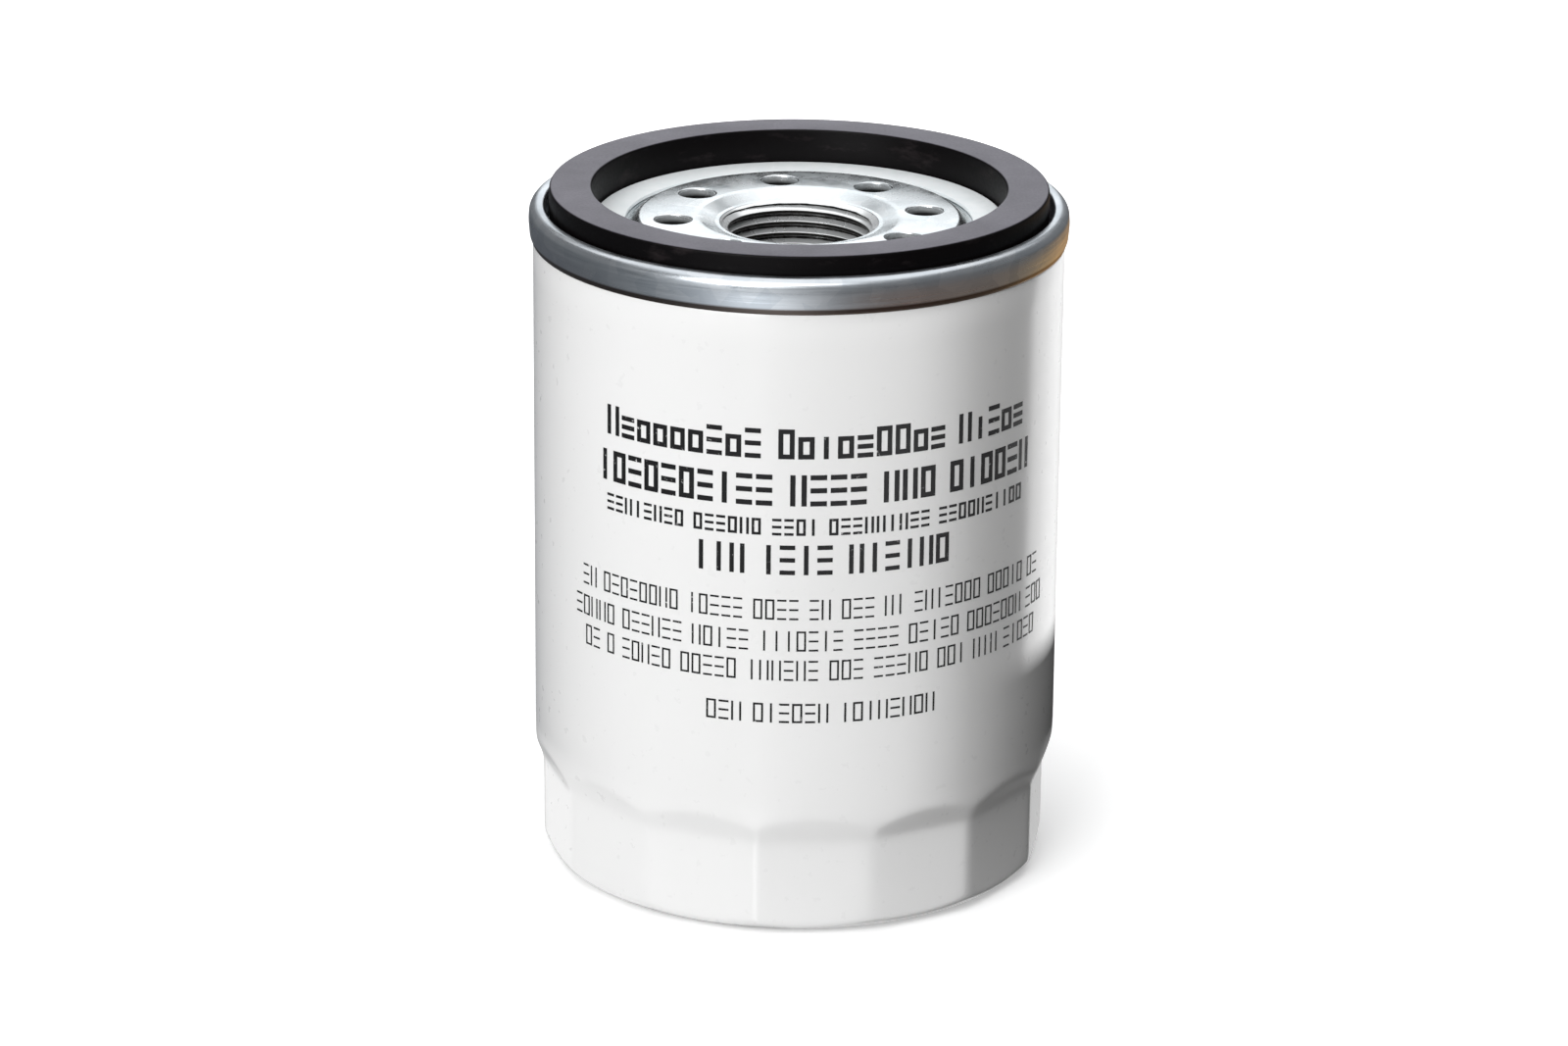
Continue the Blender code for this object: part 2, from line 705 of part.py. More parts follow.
def make_spring_seat():
    """The pressed ring under the element. Its lip keeps the support spring centred."""
    half = SPRING_SEAT_SHEET / 2
    level = ELEMENT_BOTTOM - SNUG - half
    corners = [
        (SPRING_SEAT_LIP_R, level - SPRING_SEAT_LIP),
        (SPRING_SEAT_LIP_R, level, 0.6),
        (SPRING_SEAT_R, level),
    ]
    return pressed_sheet("spring_seat", corners, SPRING_SEAT_SHEET, TIN, CORE_STEPS)


def make_support_spring():
    """The spring on the floor of the case that presses the element against the base plate."""
    return coil(
        "support_spring", SUPPORT_COIL_R, SUPPORT_WIRE, SUPPORT_TURNS, CASE_SHEET + SNUG,
        ELEMENT_BOTTOM - SPRING_SEAT_SHEET - 2 * SNUG, 16, SPRING_STEEL,
    )


make_case()
make_lid()
make_seam_compound()
make_gasket()
make_base_plate()
make_anti_drain_valve()
make_top_end_cap()
make_potting("top_potting", ELEMENT_CAP_UNDER - SNUG - POTTING)
make_pleated_media()
make_media_clip()
make_centre_tube()
make_potting("bottom_potting", ELEMENT_FLOOR + SNUG)
make_bottom_end_cap()
make_bypass_seat()
make_bypass_cage()
make_bypass_poppet()
make_bypass_seal()
make_bypass_spring()
make_spring_seat()
make_support_spring()
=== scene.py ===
"""Looks for the spin-on oil filter: fine surfaces, materials, a studio and the camera.

Sizes are in millimetres and angles in degrees unless a name says otherwise. The filter stands on its
closed end at z = 0 with its threaded end up, and the camera looks at its -Y side.
"""

import math
import random

import bmesh
import bpy
from mathutils import Matrix, Vector


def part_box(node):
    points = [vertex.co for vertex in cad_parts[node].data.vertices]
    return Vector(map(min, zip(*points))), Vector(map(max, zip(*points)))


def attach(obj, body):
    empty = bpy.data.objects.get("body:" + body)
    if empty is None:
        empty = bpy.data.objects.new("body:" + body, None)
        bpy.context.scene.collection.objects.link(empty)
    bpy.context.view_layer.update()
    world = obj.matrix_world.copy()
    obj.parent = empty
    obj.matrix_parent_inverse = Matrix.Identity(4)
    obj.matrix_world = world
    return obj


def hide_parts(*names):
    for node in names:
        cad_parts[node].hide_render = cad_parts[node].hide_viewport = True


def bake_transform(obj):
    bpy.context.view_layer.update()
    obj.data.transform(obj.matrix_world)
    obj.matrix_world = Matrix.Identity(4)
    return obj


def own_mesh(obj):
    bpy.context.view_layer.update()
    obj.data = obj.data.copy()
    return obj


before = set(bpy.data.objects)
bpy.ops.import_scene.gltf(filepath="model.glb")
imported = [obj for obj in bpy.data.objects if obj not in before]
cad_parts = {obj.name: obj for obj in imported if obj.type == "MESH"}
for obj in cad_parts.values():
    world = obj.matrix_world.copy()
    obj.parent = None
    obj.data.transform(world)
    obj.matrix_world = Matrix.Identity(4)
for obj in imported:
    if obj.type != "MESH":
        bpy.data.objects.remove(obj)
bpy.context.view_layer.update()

MM = 0.001
NEARLY = 0.01


# Sizes read from the frame


def points_of(node, low=-1e9, high=1e9):
    """(radius, height) of a CAD node's corners between two heights."""
    corners = [vertex.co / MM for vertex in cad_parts[node].data.vertices]
    return [(math.hypot(p.x, p.y), p.z) for p in corners if low <= p.z <= high]


def widest(node, low=-1e9, high=1e9):
    return max(r for r, z in points_of(node, low, high))


def narrowest(node, low=-1e9, high=1e9):
    return min(r for r, z in points_of(node, low, high))


def bottom_of(node):
    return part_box(node)[0].z / MM


def top_of(node):
    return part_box(node)[1].z / MM


LIP_BAND = 0.2  # height of the band at the case's top edge that leans in under the seam

CASE_TOP = top_of("case")
CASE_R = widest("case", 0, CASE_TOP - LIP_BAND)
LIP_R = widest("case", CASE_TOP - LIP_BAND)
SEAM_OUTER_R = widest("seaming_lid")
SEAM_TOP = top_of("seaming_lid")
SEAM_BOTTOM = bottom_of("seaming_lid")
LID_HOLE_R = narrowest("seaming_lid")
GASKET_INNER_R = narrowest("gasket")
GASKET_OUTER_R = widest("gasket")
GASKET_TOP = top_of("gasket")
GASKET_BOTTOM = bottom_of("gasket")
PLATE_R = widest("base_plate")
PLATE_TOP = top_of("base_plate")
HUB_END = bottom_of("base_plate")
HUB_R = widest("base_plate", HUB_END - 0.1, HUB_END + 0.1)
THREAD_MINOR_R = narrowest("base_plate")

# Shape of the case
CASE_SHEET = 0.4
LIP_DROP = 0.4
FLUTES = 14
FLUTE_COLUMNS = 24
FLUTE_FLAT_R = 32.5
FLUTE_PHASE = -8.5
FLUTE_TOP_Z = 13.0
FLUTE_SLOPE = 0.48
RIDGE_SOFTNESS = 0.3
SHOULDER_SOFTNESS = 0.3
CREASE_SOFTNESS = 0.9
FLUTE_BLEND = 2.0  # how far above and below the shoulder the mesh stays fine
FLOOR_CORNER = 5.1
FLOOR_PRESSED = 4.5  # how far inside the ridges the flats still shape the rounded corner
FLOOR_RECESS = 0.9
FLOOR_RECESS_R = 18.5
FLOOR_STEP_WIDTH = 1.2
FLOOR_STEP_BEND = 0.8

# Shape of the lid
LID_SHEET = 0.45
SEAM_INNER_R = 32.8
SEAM_BULGE_R = SEAM_OUTER_R + 0.03
SEAM_TUCK_R = SEAM_OUTER_R - 0.45  # the lower edge, tucked in towards the case
GROOVE_INNER_R = 26.53
GROOVE_FLOOR = GASKET_BOTTOM - 0.05
SHOULDER_TOP = 86.5
LID_RING_TOP = 86.25

# Shape of the base plate
PLATE_SHEET = 2.8
PLATE_MIDDLE_TOP = 85.7
PLATE_EDGE_TOP = 84.5
BOWL_START_R = 13.2  # the hub's slope ends and the level bowl with the inlets starts
BOWL_R = 20.7
MIDDLE_INNER_R = 22.0
MIDDLE_OUTER_R = 24.7
EDGE_STEP_R = 25.7
THREAD_PITCH = 1.5
THREAD_DEPTH = 0.81
THREAD_START = 0.58  # turns between the front and the groove's start
THREAD_RIM_R = 10.3
THREAD_RIM_Z = 85.9
THREAD_RIM_DROP = 0.75
THREAD_RIM_BREAK = 0.05  # width of the broken edge between the bore and the plate's top
THREAD_CHAMFER = 0.5  # at the hub's lower end
THREAD_END = 0.06  # the turns are cut up to this far from the rim
THREAD_SOFTNESS = 0.08
THREAD_ROWS = 24
INLETS = 8
INLET_R = 2.35
INLET_CIRCLE_R = 16.4
INLET_PHASE = -9.0
INLET_EDGE = 0.3
INLET_STEPS = 48

# Shape of the anti-drain valve
VALVE_FLANGE = 1.5
VALVE_SLEEVE = 3.3
VALVE_STEPS = 128

# Shape of the coils
CLOSED_RISE = 1.06  # rise of a closed turn, as a share of the wire's thickness, so that turns stay apart

# Fineness
ROUND_STEPS = 256
PLATE_STEPS = 240
COIL_STEPS = 48
ARC_STEP = 15


# Ways of making a shape


def rounded(corners, arc_step=ARC_STEP):
    """Points of an outline from (r, z) corners. A corner (r, z, radius) is rounded by an arc."""
    points = []
    for index, corner in enumerate(corners):
        here = Vector(corner[:2])
        if len(corner) < 3:
            points.append(tuple(here))
            continue
        radius = corner[2]
        back = (Vector(corners[index - 1][:2]) - here).normalized()
        ahead = (Vector(corners[(index + 1) % len(corners)][:2]) - here).normalized()
        half = back.angle(ahead) / 2
        centre = here + (back + ahead).normalized() * radius / math.sin(half)
        start = here + back * radius / math.tan(half) - centre
        end = here + ahead * radius / math.tan(half) - centre
        first = math.atan2(start.y, start.x)
        turn = (math.atan2(end.y, end.x) - first + math.pi) % math.tau - math.pi
        steps = max(1, math.ceil(abs(math.degrees(turn)) / arc_step))
        for step in range(steps + 1):
            angle = first + turn * step / steps
            points.append((centre.x + radius * math.cos(angle), centre.y + radius * math.sin(angle)))
    return points


def stretch(start, end, step):
    """Points along a straight line, start left out, no further apart than step."""
    count = max(1, math.ceil(math.dist(start, end) / step))
    shares = [(i + 1) / count for i in range(count)]
    return [(start[0] + (end[0] - start[0]) * t, start[1] + (end[1] - start[1]) * t) for t in shares]


def baked_mesh(obj):
    """The object's mesh with its modifiers applied. The object itself is removed."""
    bpy.context.view_layer.update()
    graph = bpy.context.evaluated_depsgraph_get()
    mesh = bpy.data.meshes.new_from_object(obj.evaluated_get(graph))
    bpy.data.objects.remove(obj)
    return mesh


def place(name, data):
    """A new object in the scene that shows a mesh, curve, light or camera."""
    obj = bpy.data.objects.new(name, data)
    bpy.context.scene.collection.objects.link(obj)
    return obj


def finished_mesh(name, build):
    """The mesh of what a bmesh holds. The bmesh is freed."""
    mesh = bpy.data.meshes.new(name)
    build.to_mesh(mesh)
    build.free()
    return mesh


def turned_mesh(name, points, steps, closed=True):
    """A mesh whose (r, z) outline is turned about Z. The outline runs down its outer side."""
    mesh = bpy.data.meshes.new(name)
    edges = [(i, i + 1) for i in range(len(points) - 1)]
    if closed:
        edges.append((len(points) - 1, 0))
    mesh.from_pydata([(r * MM, 0, z * MM) for r, z in points], edges, [])
    obj = place(name, mesh)
    screw = obj.modifiers.new("turn", "SCREW")
    screw.steps = steps
    screw.render_steps = steps
    screw.use_merge_vertices = True
    screw.merge_threshold = 0.00001
    return baked_mesh(obj)


def weld(mesh):
    """Joins corners that lie on one another, such as those round a curve's end caps."""
    build = bmesh.new()
    build.from_mesh(mesh)
    bmesh.ops.remove_doubles(build, verts=build.verts, dist=0.001 * MM)
    build.to_mesh(mesh)
    build.free()


def shade(mesh, angle=35):
    """Shades a mesh smooth, apart from edges sharper than an angle."""
    mesh.shade_smooth()
    mesh.set_sharp_from_angle(angle=math.radians(angle))


def soft_min(a, b, softness):
    """The smaller of two values, blended where they are about equal."""
    return (a + b - math.hypot(a - b, softness)) / 2


def soft_max(a, b, softness):
    return (a + b + math.hypot(a - b, softness)) / 2


def azimuth(vertex):
    """Angle of a vertex about the axis, from the front, -Y, towards +X, in radians."""
    return math.atan2(vertex.co.x, -vertex.co.y)


def set_radius(vertex, radius):
    """Moves a vertex straight out from the axis or in towards it."""
    scale = radius * MM / math.hypot(vertex.co.x, vertex.co.y)
    vertex.co.x *= scale
    vertex.co.y *= scale


def stands_for(obj, node, body, material):
    """obj takes the place of a CAD node and moves with its body."""
    obj.data.materials.clear()
    obj.data.materials.append(material)
    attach(obj, body)
    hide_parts(node)


# Nodes of a material


class Shader:
    """A material with one Principled BSDF, and short ways to add nodes to it."""

    def __init__(self, name, colour, roughness, metallic=0.0):
        self.material = bpy.data.materials.new(name)
        self.material.use_nodes = True
        self.tree = self.material.node_tree
        self.surface = self.tree.nodes["Principled BSDF"]
        self.set("Base Color", (*colour, 1))
        self.set("Roughness", roughness)
        self.set("Metallic", metallic)
        self.place = self.node("ShaderNodeTexCoord").outputs["Object"]

    def node(self, kind, **settings):
        made = self.tree.nodes.new(kind)
        for key, value in settings.items():
            setattr(made, key, value)
        return made

    def link(self, source, target):
        self.tree.links.new(source, target)

    def set(self, name, value):
        self.surface.inputs[name].default_value = value

    def drive(self, name, source):
        self.link(source, self.surface.inputs[name])

    def scaled(self, x, y, z):
        """The place on the object in metres, multiplied along each axis."""
        scale = self.node("ShaderNodeVectorMath", operation="MULTIPLY")
        self.link(self.place, scale.inputs[0])
        scale.inputs[1].default_value = (x, y, z)
        return scale.outputs[0]

    def noise(self, scale, detail=3.0, roughness=0.5, where=None):
        texture = self.node("ShaderNodeTexNoise")
        self.link(where or self.place, texture.inputs["Vector"])
        texture.inputs["Scale"].default_value = scale
        texture.inputs["Detail"].default_value = detail
        texture.inputs["Roughness"].default_value = roughness
        return texture.outputs["Fac"]

    def cells(self, scale):
        """A different random value in each cell of a Voronoi pattern."""
        texture = self.node("ShaderNodeTexVoronoi")
        self.link(self.place, texture.inputs["Vector"])
        texture.inputs["Scale"].default_value = scale
        parts = self.node("ShaderNodeSeparateColor")
        self.link(texture.outputs["Color"], parts.inputs[0])
        return parts.outputs[0]

    def part_of(self, vector, axis):
        parts = self.node("ShaderNodeSeparateXYZ")
        self.link(vector, parts.inputs[0])
        return parts.outputs[axis]

    def height(self):
        return self.part_of(self.place, "Z")

    def upward(self):
        """How far the surface faces up: 1 for level, 0 for upright."""
        return self.part_of(self.node("ShaderNodeNewGeometry").outputs["Normal"], "Z")

    def off_axis(self):
        """Distance from the filter's axis in metres."""
        flat = self.scaled(1, 1, 0)
        length = self.node("ShaderNodeVectorMath", operation="LENGTH")
        self.link(flat, length.inputs[0])
        return length.outputs["Value"]

    def spread(self, source, low, high, from_low=0.3, from_high=0.7):
        """source mapped from one range of values to another."""
        remap = self.node("ShaderNodeMapRange")
        self.link(source, remap.inputs["Value"])
        remap.inputs["From Min"].default_value = from_low
        remap.inputs["From Max"].default_value = from_high
        remap.inputs["To Min"].default_value = low
        remap.inputs["To Max"].default_value = high
        return remap.outputs["Result"]

    def times(self, a, b):
        product = self.node("ShaderNodeMath", operation="MULTIPLY")
        self.link(a, product.inputs[0])
        self.link(b, product.inputs[1])
        return product.outputs[0]

    def plus(self, a, b):
        total = self.node("ShaderNodeMath", operation="ADD")
        self.link(a, total.inputs[0])
        self.link(b, total.inputs[1])
        return total.outputs[0]

    def mix(self, share, first, second):
        """A colour between two, each one a colour or a socket."""
        blend = self.node("ShaderNodeMix", data_type="RGBA")
        self.link(share, blend.inputs["Factor"])
        for name, value in (("A", first), ("B", second)):
            socket = next(s for s in blend.inputs if s.name == name and s.type == "RGBA")
            if isinstance(value, tuple):
                socket.default_value = (*value, 1)
            else:
                self.link(value, socket)
        return next(s for s in blend.outputs if s.type == "RGBA")

    def bump(self, height, strength, depth_mm):
        """Adds relief. Calls add up, each on top of the one before."""
        relief = self.node("ShaderNodeBump")
        relief.inputs["Strength"].default_value = strength
        relief.inputs["Distance"].default_value = depth_mm * MM
        self.link(height, relief.inputs["Height"])
        before = self.surface.inputs["Normal"].links
        if before:
            self.link(before[0].from_socket, relief.inputs["Normal"])
        self.drive("Normal", relief.outputs["Normal"])


def white_paint():
    """Glossy white stoved paint with fine orange peel, and scuffs where the filter has stood."""
    paint = Shader("white_paint", (0.84, 0.84, 0.835), 0.3)
    cloudy = paint.noise(28, 2)
    tint = paint.mix(paint.spread(cloudy, 0, 1), (0.845, 0.845, 0.84), (0.86, 0.86, 0.857))
    foot = paint.spread(paint.height(), 1, 0, 0.0001, 0.0006)
    specks = paint.spread(paint.noise(900, 4, 0.7), 0, 1, 0.52, 0.66)
    paint.drive("Base Color", paint.mix(paint.times(foot, specks), tint, (0.42, 0.41, 0.4)))
    paint.drive("Roughness", paint.spread(paint.noise(700, 3), 0.27, 0.33))
    paint.set("Coat Weight", 0.8)
    paint.set("Coat Roughness", 0.1)
    paint.set("Specular IOR Level", 0.35)
    paint.bump(paint.noise(900, 2), 0.02, 0.02)
    return paint.material


def rolled_zinc():
    """Thin galvanised sheet: bluish grey, with streaks from rolling, a faint spangle, and painted shade on
    faces that point down, as under the seam.

    The level ring inside the gasket is painted nearly white and matt, a painted highlight for the light that
    this level face shows.
    """
    zinc = Shader("rolled_zinc", (0.62, 0.66, 0.7), 0.3, 1.0)
    streaks = zinc.noise(1, 4, 0.6, zinc.scaled(90, 90, 2600))
    spangle = zinc.cells(420)
    tone = zinc.mix(zinc.spread(spangle, 0, 1, 0, 1), (0.56, 0.6, 0.64), (0.68, 0.71, 0.74))
    seam = zinc.mix(zinc.spread(streaks, 0, 0.35), tone, (0.44, 0.47, 0.5))
    on_ring = zinc.spread(zinc.off_axis(), 1, 0, (GROOVE_INNER_R - 0.05) * MM, (GROOVE_INNER_R + 0.05) * MM)
    # painted highlight: the level ring is coloured nearly white for how brightly it shows under the lights
    ring_painted_highlight = zinc.mix(zinc.spread(zinc.noise(500, 3), 0, 1), (0.88, 0.93, 0.94), (0.95, 0.98, 0.99))
    # painted shade: faces that point down, such as the seam's underside, are darkened towards brown
    painted_underside_shade = zinc.spread(zinc.upward(), 1, 0, -0.3, -0.12)
    seam = zinc.mix(painted_underside_shade, seam, (0.12, 0.1, 0.09))
    zinc.drive("Base Color", zinc.mix(on_ring, seam, ring_painted_highlight))
    zinc.drive("Metallic", zinc.spread(on_ring, 1, 0.1, 0, 1))
    seam_roughness = zinc.spread(streaks, 0.24, 0.42)
    zinc.drive("Roughness", zinc.plus(seam_roughness, zinc.spread(on_ring, 0, 0.2, 0, 1)))
    zinc.bump(streaks, 0.1, 0.02)
    zinc.bump(zinc.noise(700, 3), 0.08, 0.03)
    return zinc.material


def plate_zinc():
    """Thick galvanised plate: brighter and mottled, with painted shade deep in the inlets, and a thread with
    painted highlight on faces that point up and painted shade on the rest.
    """
    zinc = Shader("plate_zinc", (0.72, 0.75, 0.77), 0.22, 1.0)
    mottle = zinc.noise(240, 5, 0.65)
    spangle = zinc.cells(260)
    tone = zinc.mix(zinc.spread(spangle, 0, 1, 0, 1), (0.68, 0.72, 0.74), (0.8, 0.82, 0.83))
    plate = zinc.mix(zinc.spread(mottle, 0, 0.25, 0.45, 0.7), tone, (0.5, 0.53, 0.54))
    in_bore = zinc.spread(zinc.off_axis(), 1, 0, (THREAD_RIM_R - 0.1) * MM, THREAD_RIM_R * MM)
    out_of_bore = zinc.spread(in_bore, 1, 0, 0, 1)
    faces_up = zinc.spread(zinc.upward(), 0, 1, 0.45, 0.72)
    # painted highlight and painted shade: in the bore, faces that point up are near white and the rest near
    # black
    thread = zinc.mix(faces_up, (0.03, 0.028, 0.026), (0.95, 0.97, 0.98))
    # painted shade: faces that don't point up, more than about 0.6 mm below the plate's top, darken to near
    # black, as deep in the inlets
    deep = zinc.spread(zinc.height(), 1, 0, (PLATE_TOP - 1.1) * MM, (PLATE_TOP - 0.6) * MM)
    in_inlet = zinc.times(deep, zinc.spread(faces_up, 1, 0, 0, 1))
    inlet_painted_shade = zinc.mix(in_inlet, plate, (0.03, 0.03, 0.03))
    zinc.drive("Base Color", zinc.mix(in_bore, inlet_painted_shade, thread))
    polished = zinc.times(faces_up, out_of_bore)
    zinc.drive("Metallic", zinc.spread(polished, 0.6, 1, 0, 1))
    zinc.drive("Roughness", zinc.spread(mottle, 0.16, 0.34))
    zinc.bump(mottle, 0.09, 0.05)
    return zinc.material


def moulded_rubber():
    """Nitrile rubber: nearly black sides with a few scuffs, and a paler, purplish top face, a painted sheen
    for the light that the level top catches.
    """
    rubber = Shader("moulded_rubber", (0.012, 0.01, 0.011), 0.45)
    cloud = rubber.noise(120, 4, 0.6)
    grain = rubber.noise(2600, 3, 0.6)
    scuffs = rubber.noise(1, 5, 0.7, rubber.scaled(160, 160, 420))
    skin = rubber.mix(rubber.spread(scuffs, 0, 1, 0.56, 0.8), (0.002, 0.0014, 0.0017), (0.022, 0.017, 0.018))
    # painted sheen: the level top face is paler and purplish for the light it catches, while the sides stay
    # near black
    top_painted_sheen = rubber.mix(rubber.spread(cloud, 0, 1), (0.09, 0.084, 0.105), (0.14, 0.132, 0.16))
    level = rubber.spread(rubber.upward(), 0, 1, 0.75, 0.99)
    rubber.drive("Base Color", rubber.mix(level, skin, top_painted_sheen))
    rubber.drive("Specular IOR Level", rubber.spread(level, 0.1, 0.3, 0, 1))
    rubber.drive("Roughness", rubber.spread(grain, 0.4, 0.5))
    rubber.bump(grain, 0.12, 0.02)
    return rubber.material


def valve_rubber():
    """Soft black rubber of the anti-drain valve, wet with a little assembly oil."""
    rubber = Shader("valve_rubber", (0.025, 0.025, 0.026), 0.4)
    film = rubber.noise(220, 3)
    tone = rubber.mix(rubber.spread(film, 0, 1), (0.018, 0.018, 0.019), (0.04, 0.04, 0.042))
    rubber.drive("Base Color", tone)
    rubber.drive("Roughness", rubber.spread(film, 0.28, 0.5))
    rubber.bump(rubber.noise(1800, 2), 0.1, 0.02)
    return rubber.material


def tinned_sheet():
    """Tinned steel with fine rolling lines."""
    tin = Shader("tinned_sheet", (0.6, 0.58, 0.54), 0.35, 1.0)
    lines = tin.noise(1, 3, 0.6, tin.scaled(2400, 120, 120))
    tin.drive("Base Color", tin.mix(tin.spread(lines, 0, 1), (0.52, 0.5, 0.46), (0.66, 0.64, 0.6)))
    tin.drive("Roughness", tin.spread(lines, 0.28, 0.45))
    tin.bump(lines, 0.1, 0.02)
    return tin.material


def turned_zinc():
    """Small turned and plated parts, with the tool's rings."""
    zinc = Shader("turned_zinc", (0.66, 0.67, 0.68), 0.3, 1.0)
    rings = zinc.noise(1, 2, 0.5, zinc.scaled(150, 150, 5000))
    zinc.drive("Base Color", zinc.mix(zinc.spread(rings, 0, 1), (0.58, 0.59, 0.6), (0.72, 0.73, 0.74)))
    zinc.drive("Roughness", zinc.spread(rings, 0.2, 0.4))
    zinc.bump(rings, 0.12, 0.02)
    return zinc.material


def spring_wire():
    """Oiled spring steel, drawn along its length."""
    wire = Shader("spring_wire", (0.3, 0.3, 0.32), 0.32, 1.0)
    film = wire.noise(500, 4, 0.6)
    wire.drive("Base Color", wire.mix(wire.spread(film, 0, 1), (0.2, 0.2, 0.22), (0.38, 0.38, 0.4)))
    wire.drive("Roughness", wire.spread(film, 0.22, 0.45))
    wire.bump(film, 0.1, 0.02)
    return wire.material


def filter_paper():
    """Resin-treated paper with visible fibres."""
    paper = Shader("filter_paper", (0.7, 0.53, 0.3), 0.9)
    fibres = paper.noise(1, 5, 0.7, paper.scaled(1500, 1500, 400))
    blotches = paper.noise(90, 2)
    tone = paper.mix(paper.spread(blotches, 0, 1), (0.66, 0.49, 0.26), (0.75, 0.59, 0.36))
    paper.drive("Base Color", paper.mix(paper.spread(fibres, 0, 0.5), tone, (0.5, 0.36, 0.18)))
    paper.drive("Roughness", paper.spread(fibres, 0.8, 1.0))
    paper.bump(fibres, 0.4, 0.05)
    return paper.material


def potting():
    """Grey adhesive with small bubbles."""
    glue = Shader("potting", (0.33, 0.31, 0.28), 0.55)
    bubbles = glue.cells(900)
    tone = glue.mix(glue.spread(bubbles, 0, 1, 0.7, 1), (0.3, 0.28, 0.25), (0.42, 0.4, 0.37))
    glue.drive("Base Color", tone)
    glue.drive("Roughness", glue.spread(glue.noise(300), 0.4, 0.7))
    glue.bump(bubbles, 0.2, 0.05)
    return glue.material


def sealant():
    """Green-grey sealing compound, wrinkled as it dried."""
    paste = Shader("sealant", (0.22, 0.28, 0.24), 0.6)
    wrinkles = paste.noise(1, 3, 0.6, paste.scaled(300, 300, 2000))
    paste.drive("Base Color", paste.mix(paste.spread(wrinkles, 0, 1), (0.18, 0.24, 0.2), (0.28, 0.34, 0.3)))
    paste.drive("Roughness", paste.spread(wrinkles, 0.45, 0.75))
    paste.bump(wrinkles, 0.3, 0.05)
    return paste.material


def printing_ink():
    """Black ink, printed thinly, so that the white shows through in worn specks."""
    ink = Shader("printing_ink", (0.008, 0.008, 0.008), 0.45)
    ink.set("Specular IOR Level", 0.25)
    worn = ink.spread(ink.noise(1500, 4, 0.7), 0, 1, 0.62, 0.68)
    patches = ink.spread(ink.noise(120, 2), 0, 1, 0.5, 0.62)
    ink.drive("Base Color", ink.mix(ink.times(worn, patches), (0.008, 0.008, 0.009), (0.6, 0.6, 0.6)))
    ink.drive("Roughness", ink.spread(ink.noise(400, 3), 0.38, 0.52))
    return ink.material


# Pieces


def smooth_case_radius(angle, z, outline_r):
    """Radius of the fluted case at an azimuth in radians and a height."""
    pitch = math.tau / FLUTES
    off_flat = (angle - math.radians(FLUTE_PHASE)) % pitch - pitch / 2
    this_flat = FLUTE_FLAT_R / math.cos(off_flat)
    next_flat = FLUTE_FLAT_R / math.cos(pitch - abs(off_flat))
    flats = soft_min(this_flat, next_flat, RIDGE_SOFTNESS)
    climb = FLUTE_SLOPE * soft_max(z - FLUTE_TOP_Z, 0, CREASE_SOFTNESS)
    return soft_min(outline_r, flats + climb, SHOULDER_SOFTNESS)


def make_can():
    """The case, with wrench flats whose ridges and shoulders are soft, as drawn sheet comes out."""
    ridge_r = FLUTE_FLAT_R / math.cos(math.pi / FLUTES)
    flutes_start = FLUTE_TOP_Z - FLUTE_BLEND
    flutes_end = FLUTE_TOP_Z + (CASE_R - FLUTE_FLAT_R) / FLUTE_SLOPE + FLUTE_BLEND
    step_start_r = FLOOR_RECESS_R + FLOOR_STEP_WIDTH
    wall_top = (CASE_R, CASE_TOP - LIP_DROP)
    outline = [(LIP_R, CASE_TOP), wall_top]
    outline += stretch(wall_top, (CASE_R, flutes_end), 8)
    outline += stretch((CASE_R, flutes_end), (CASE_R, flutes_start), 0.3)
    corner = rounded([(CASE_R, flutes_start), (CASE_R, 0, FLOOR_CORNER), (0, 0)], 6)[1:-1]
    outline += stretch(outline[-1], corner[0], 0.8)
    outline += corner[1:]
    outline += rounded([
        (step_start_r + FLOOR_STEP_BEND, 0),
        (step_start_r, 0, FLOOR_STEP_BEND),
        (FLOOR_RECESS_R, FLOOR_RECESS, FLOOR_STEP_BEND),
        (0, FLOOR_RECESS),
    ])
    mesh = turned_mesh("can", outline, FLUTES * FLUTE_COLUMNS, closed=False)
    mesh.transform(Matrix.Rotation(math.radians(FLUTE_PHASE - 90), 4, "Z"))
    for vertex in mesh.vertices:
        z = vertex.co.z / MM
        radius = math.hypot(vertex.co.x, vertex.co.y) / MM
        if z < flutes_end and radius > ridge_r - FLOOR_PRESSED:
            set_radius(vertex, smooth_case_radius(azimuth(vertex), z, radius))
    can = place("can", mesh)
    sheet = can.modifiers.new("sheet", "SOLIDIFY")
    sheet.thickness = CASE_SHEET * MM
    sheet.offset = -1
    sheet.use_even_offset = True
    shade(mesh, 60)
    stands_for(can, "case", "housing", white_paint())


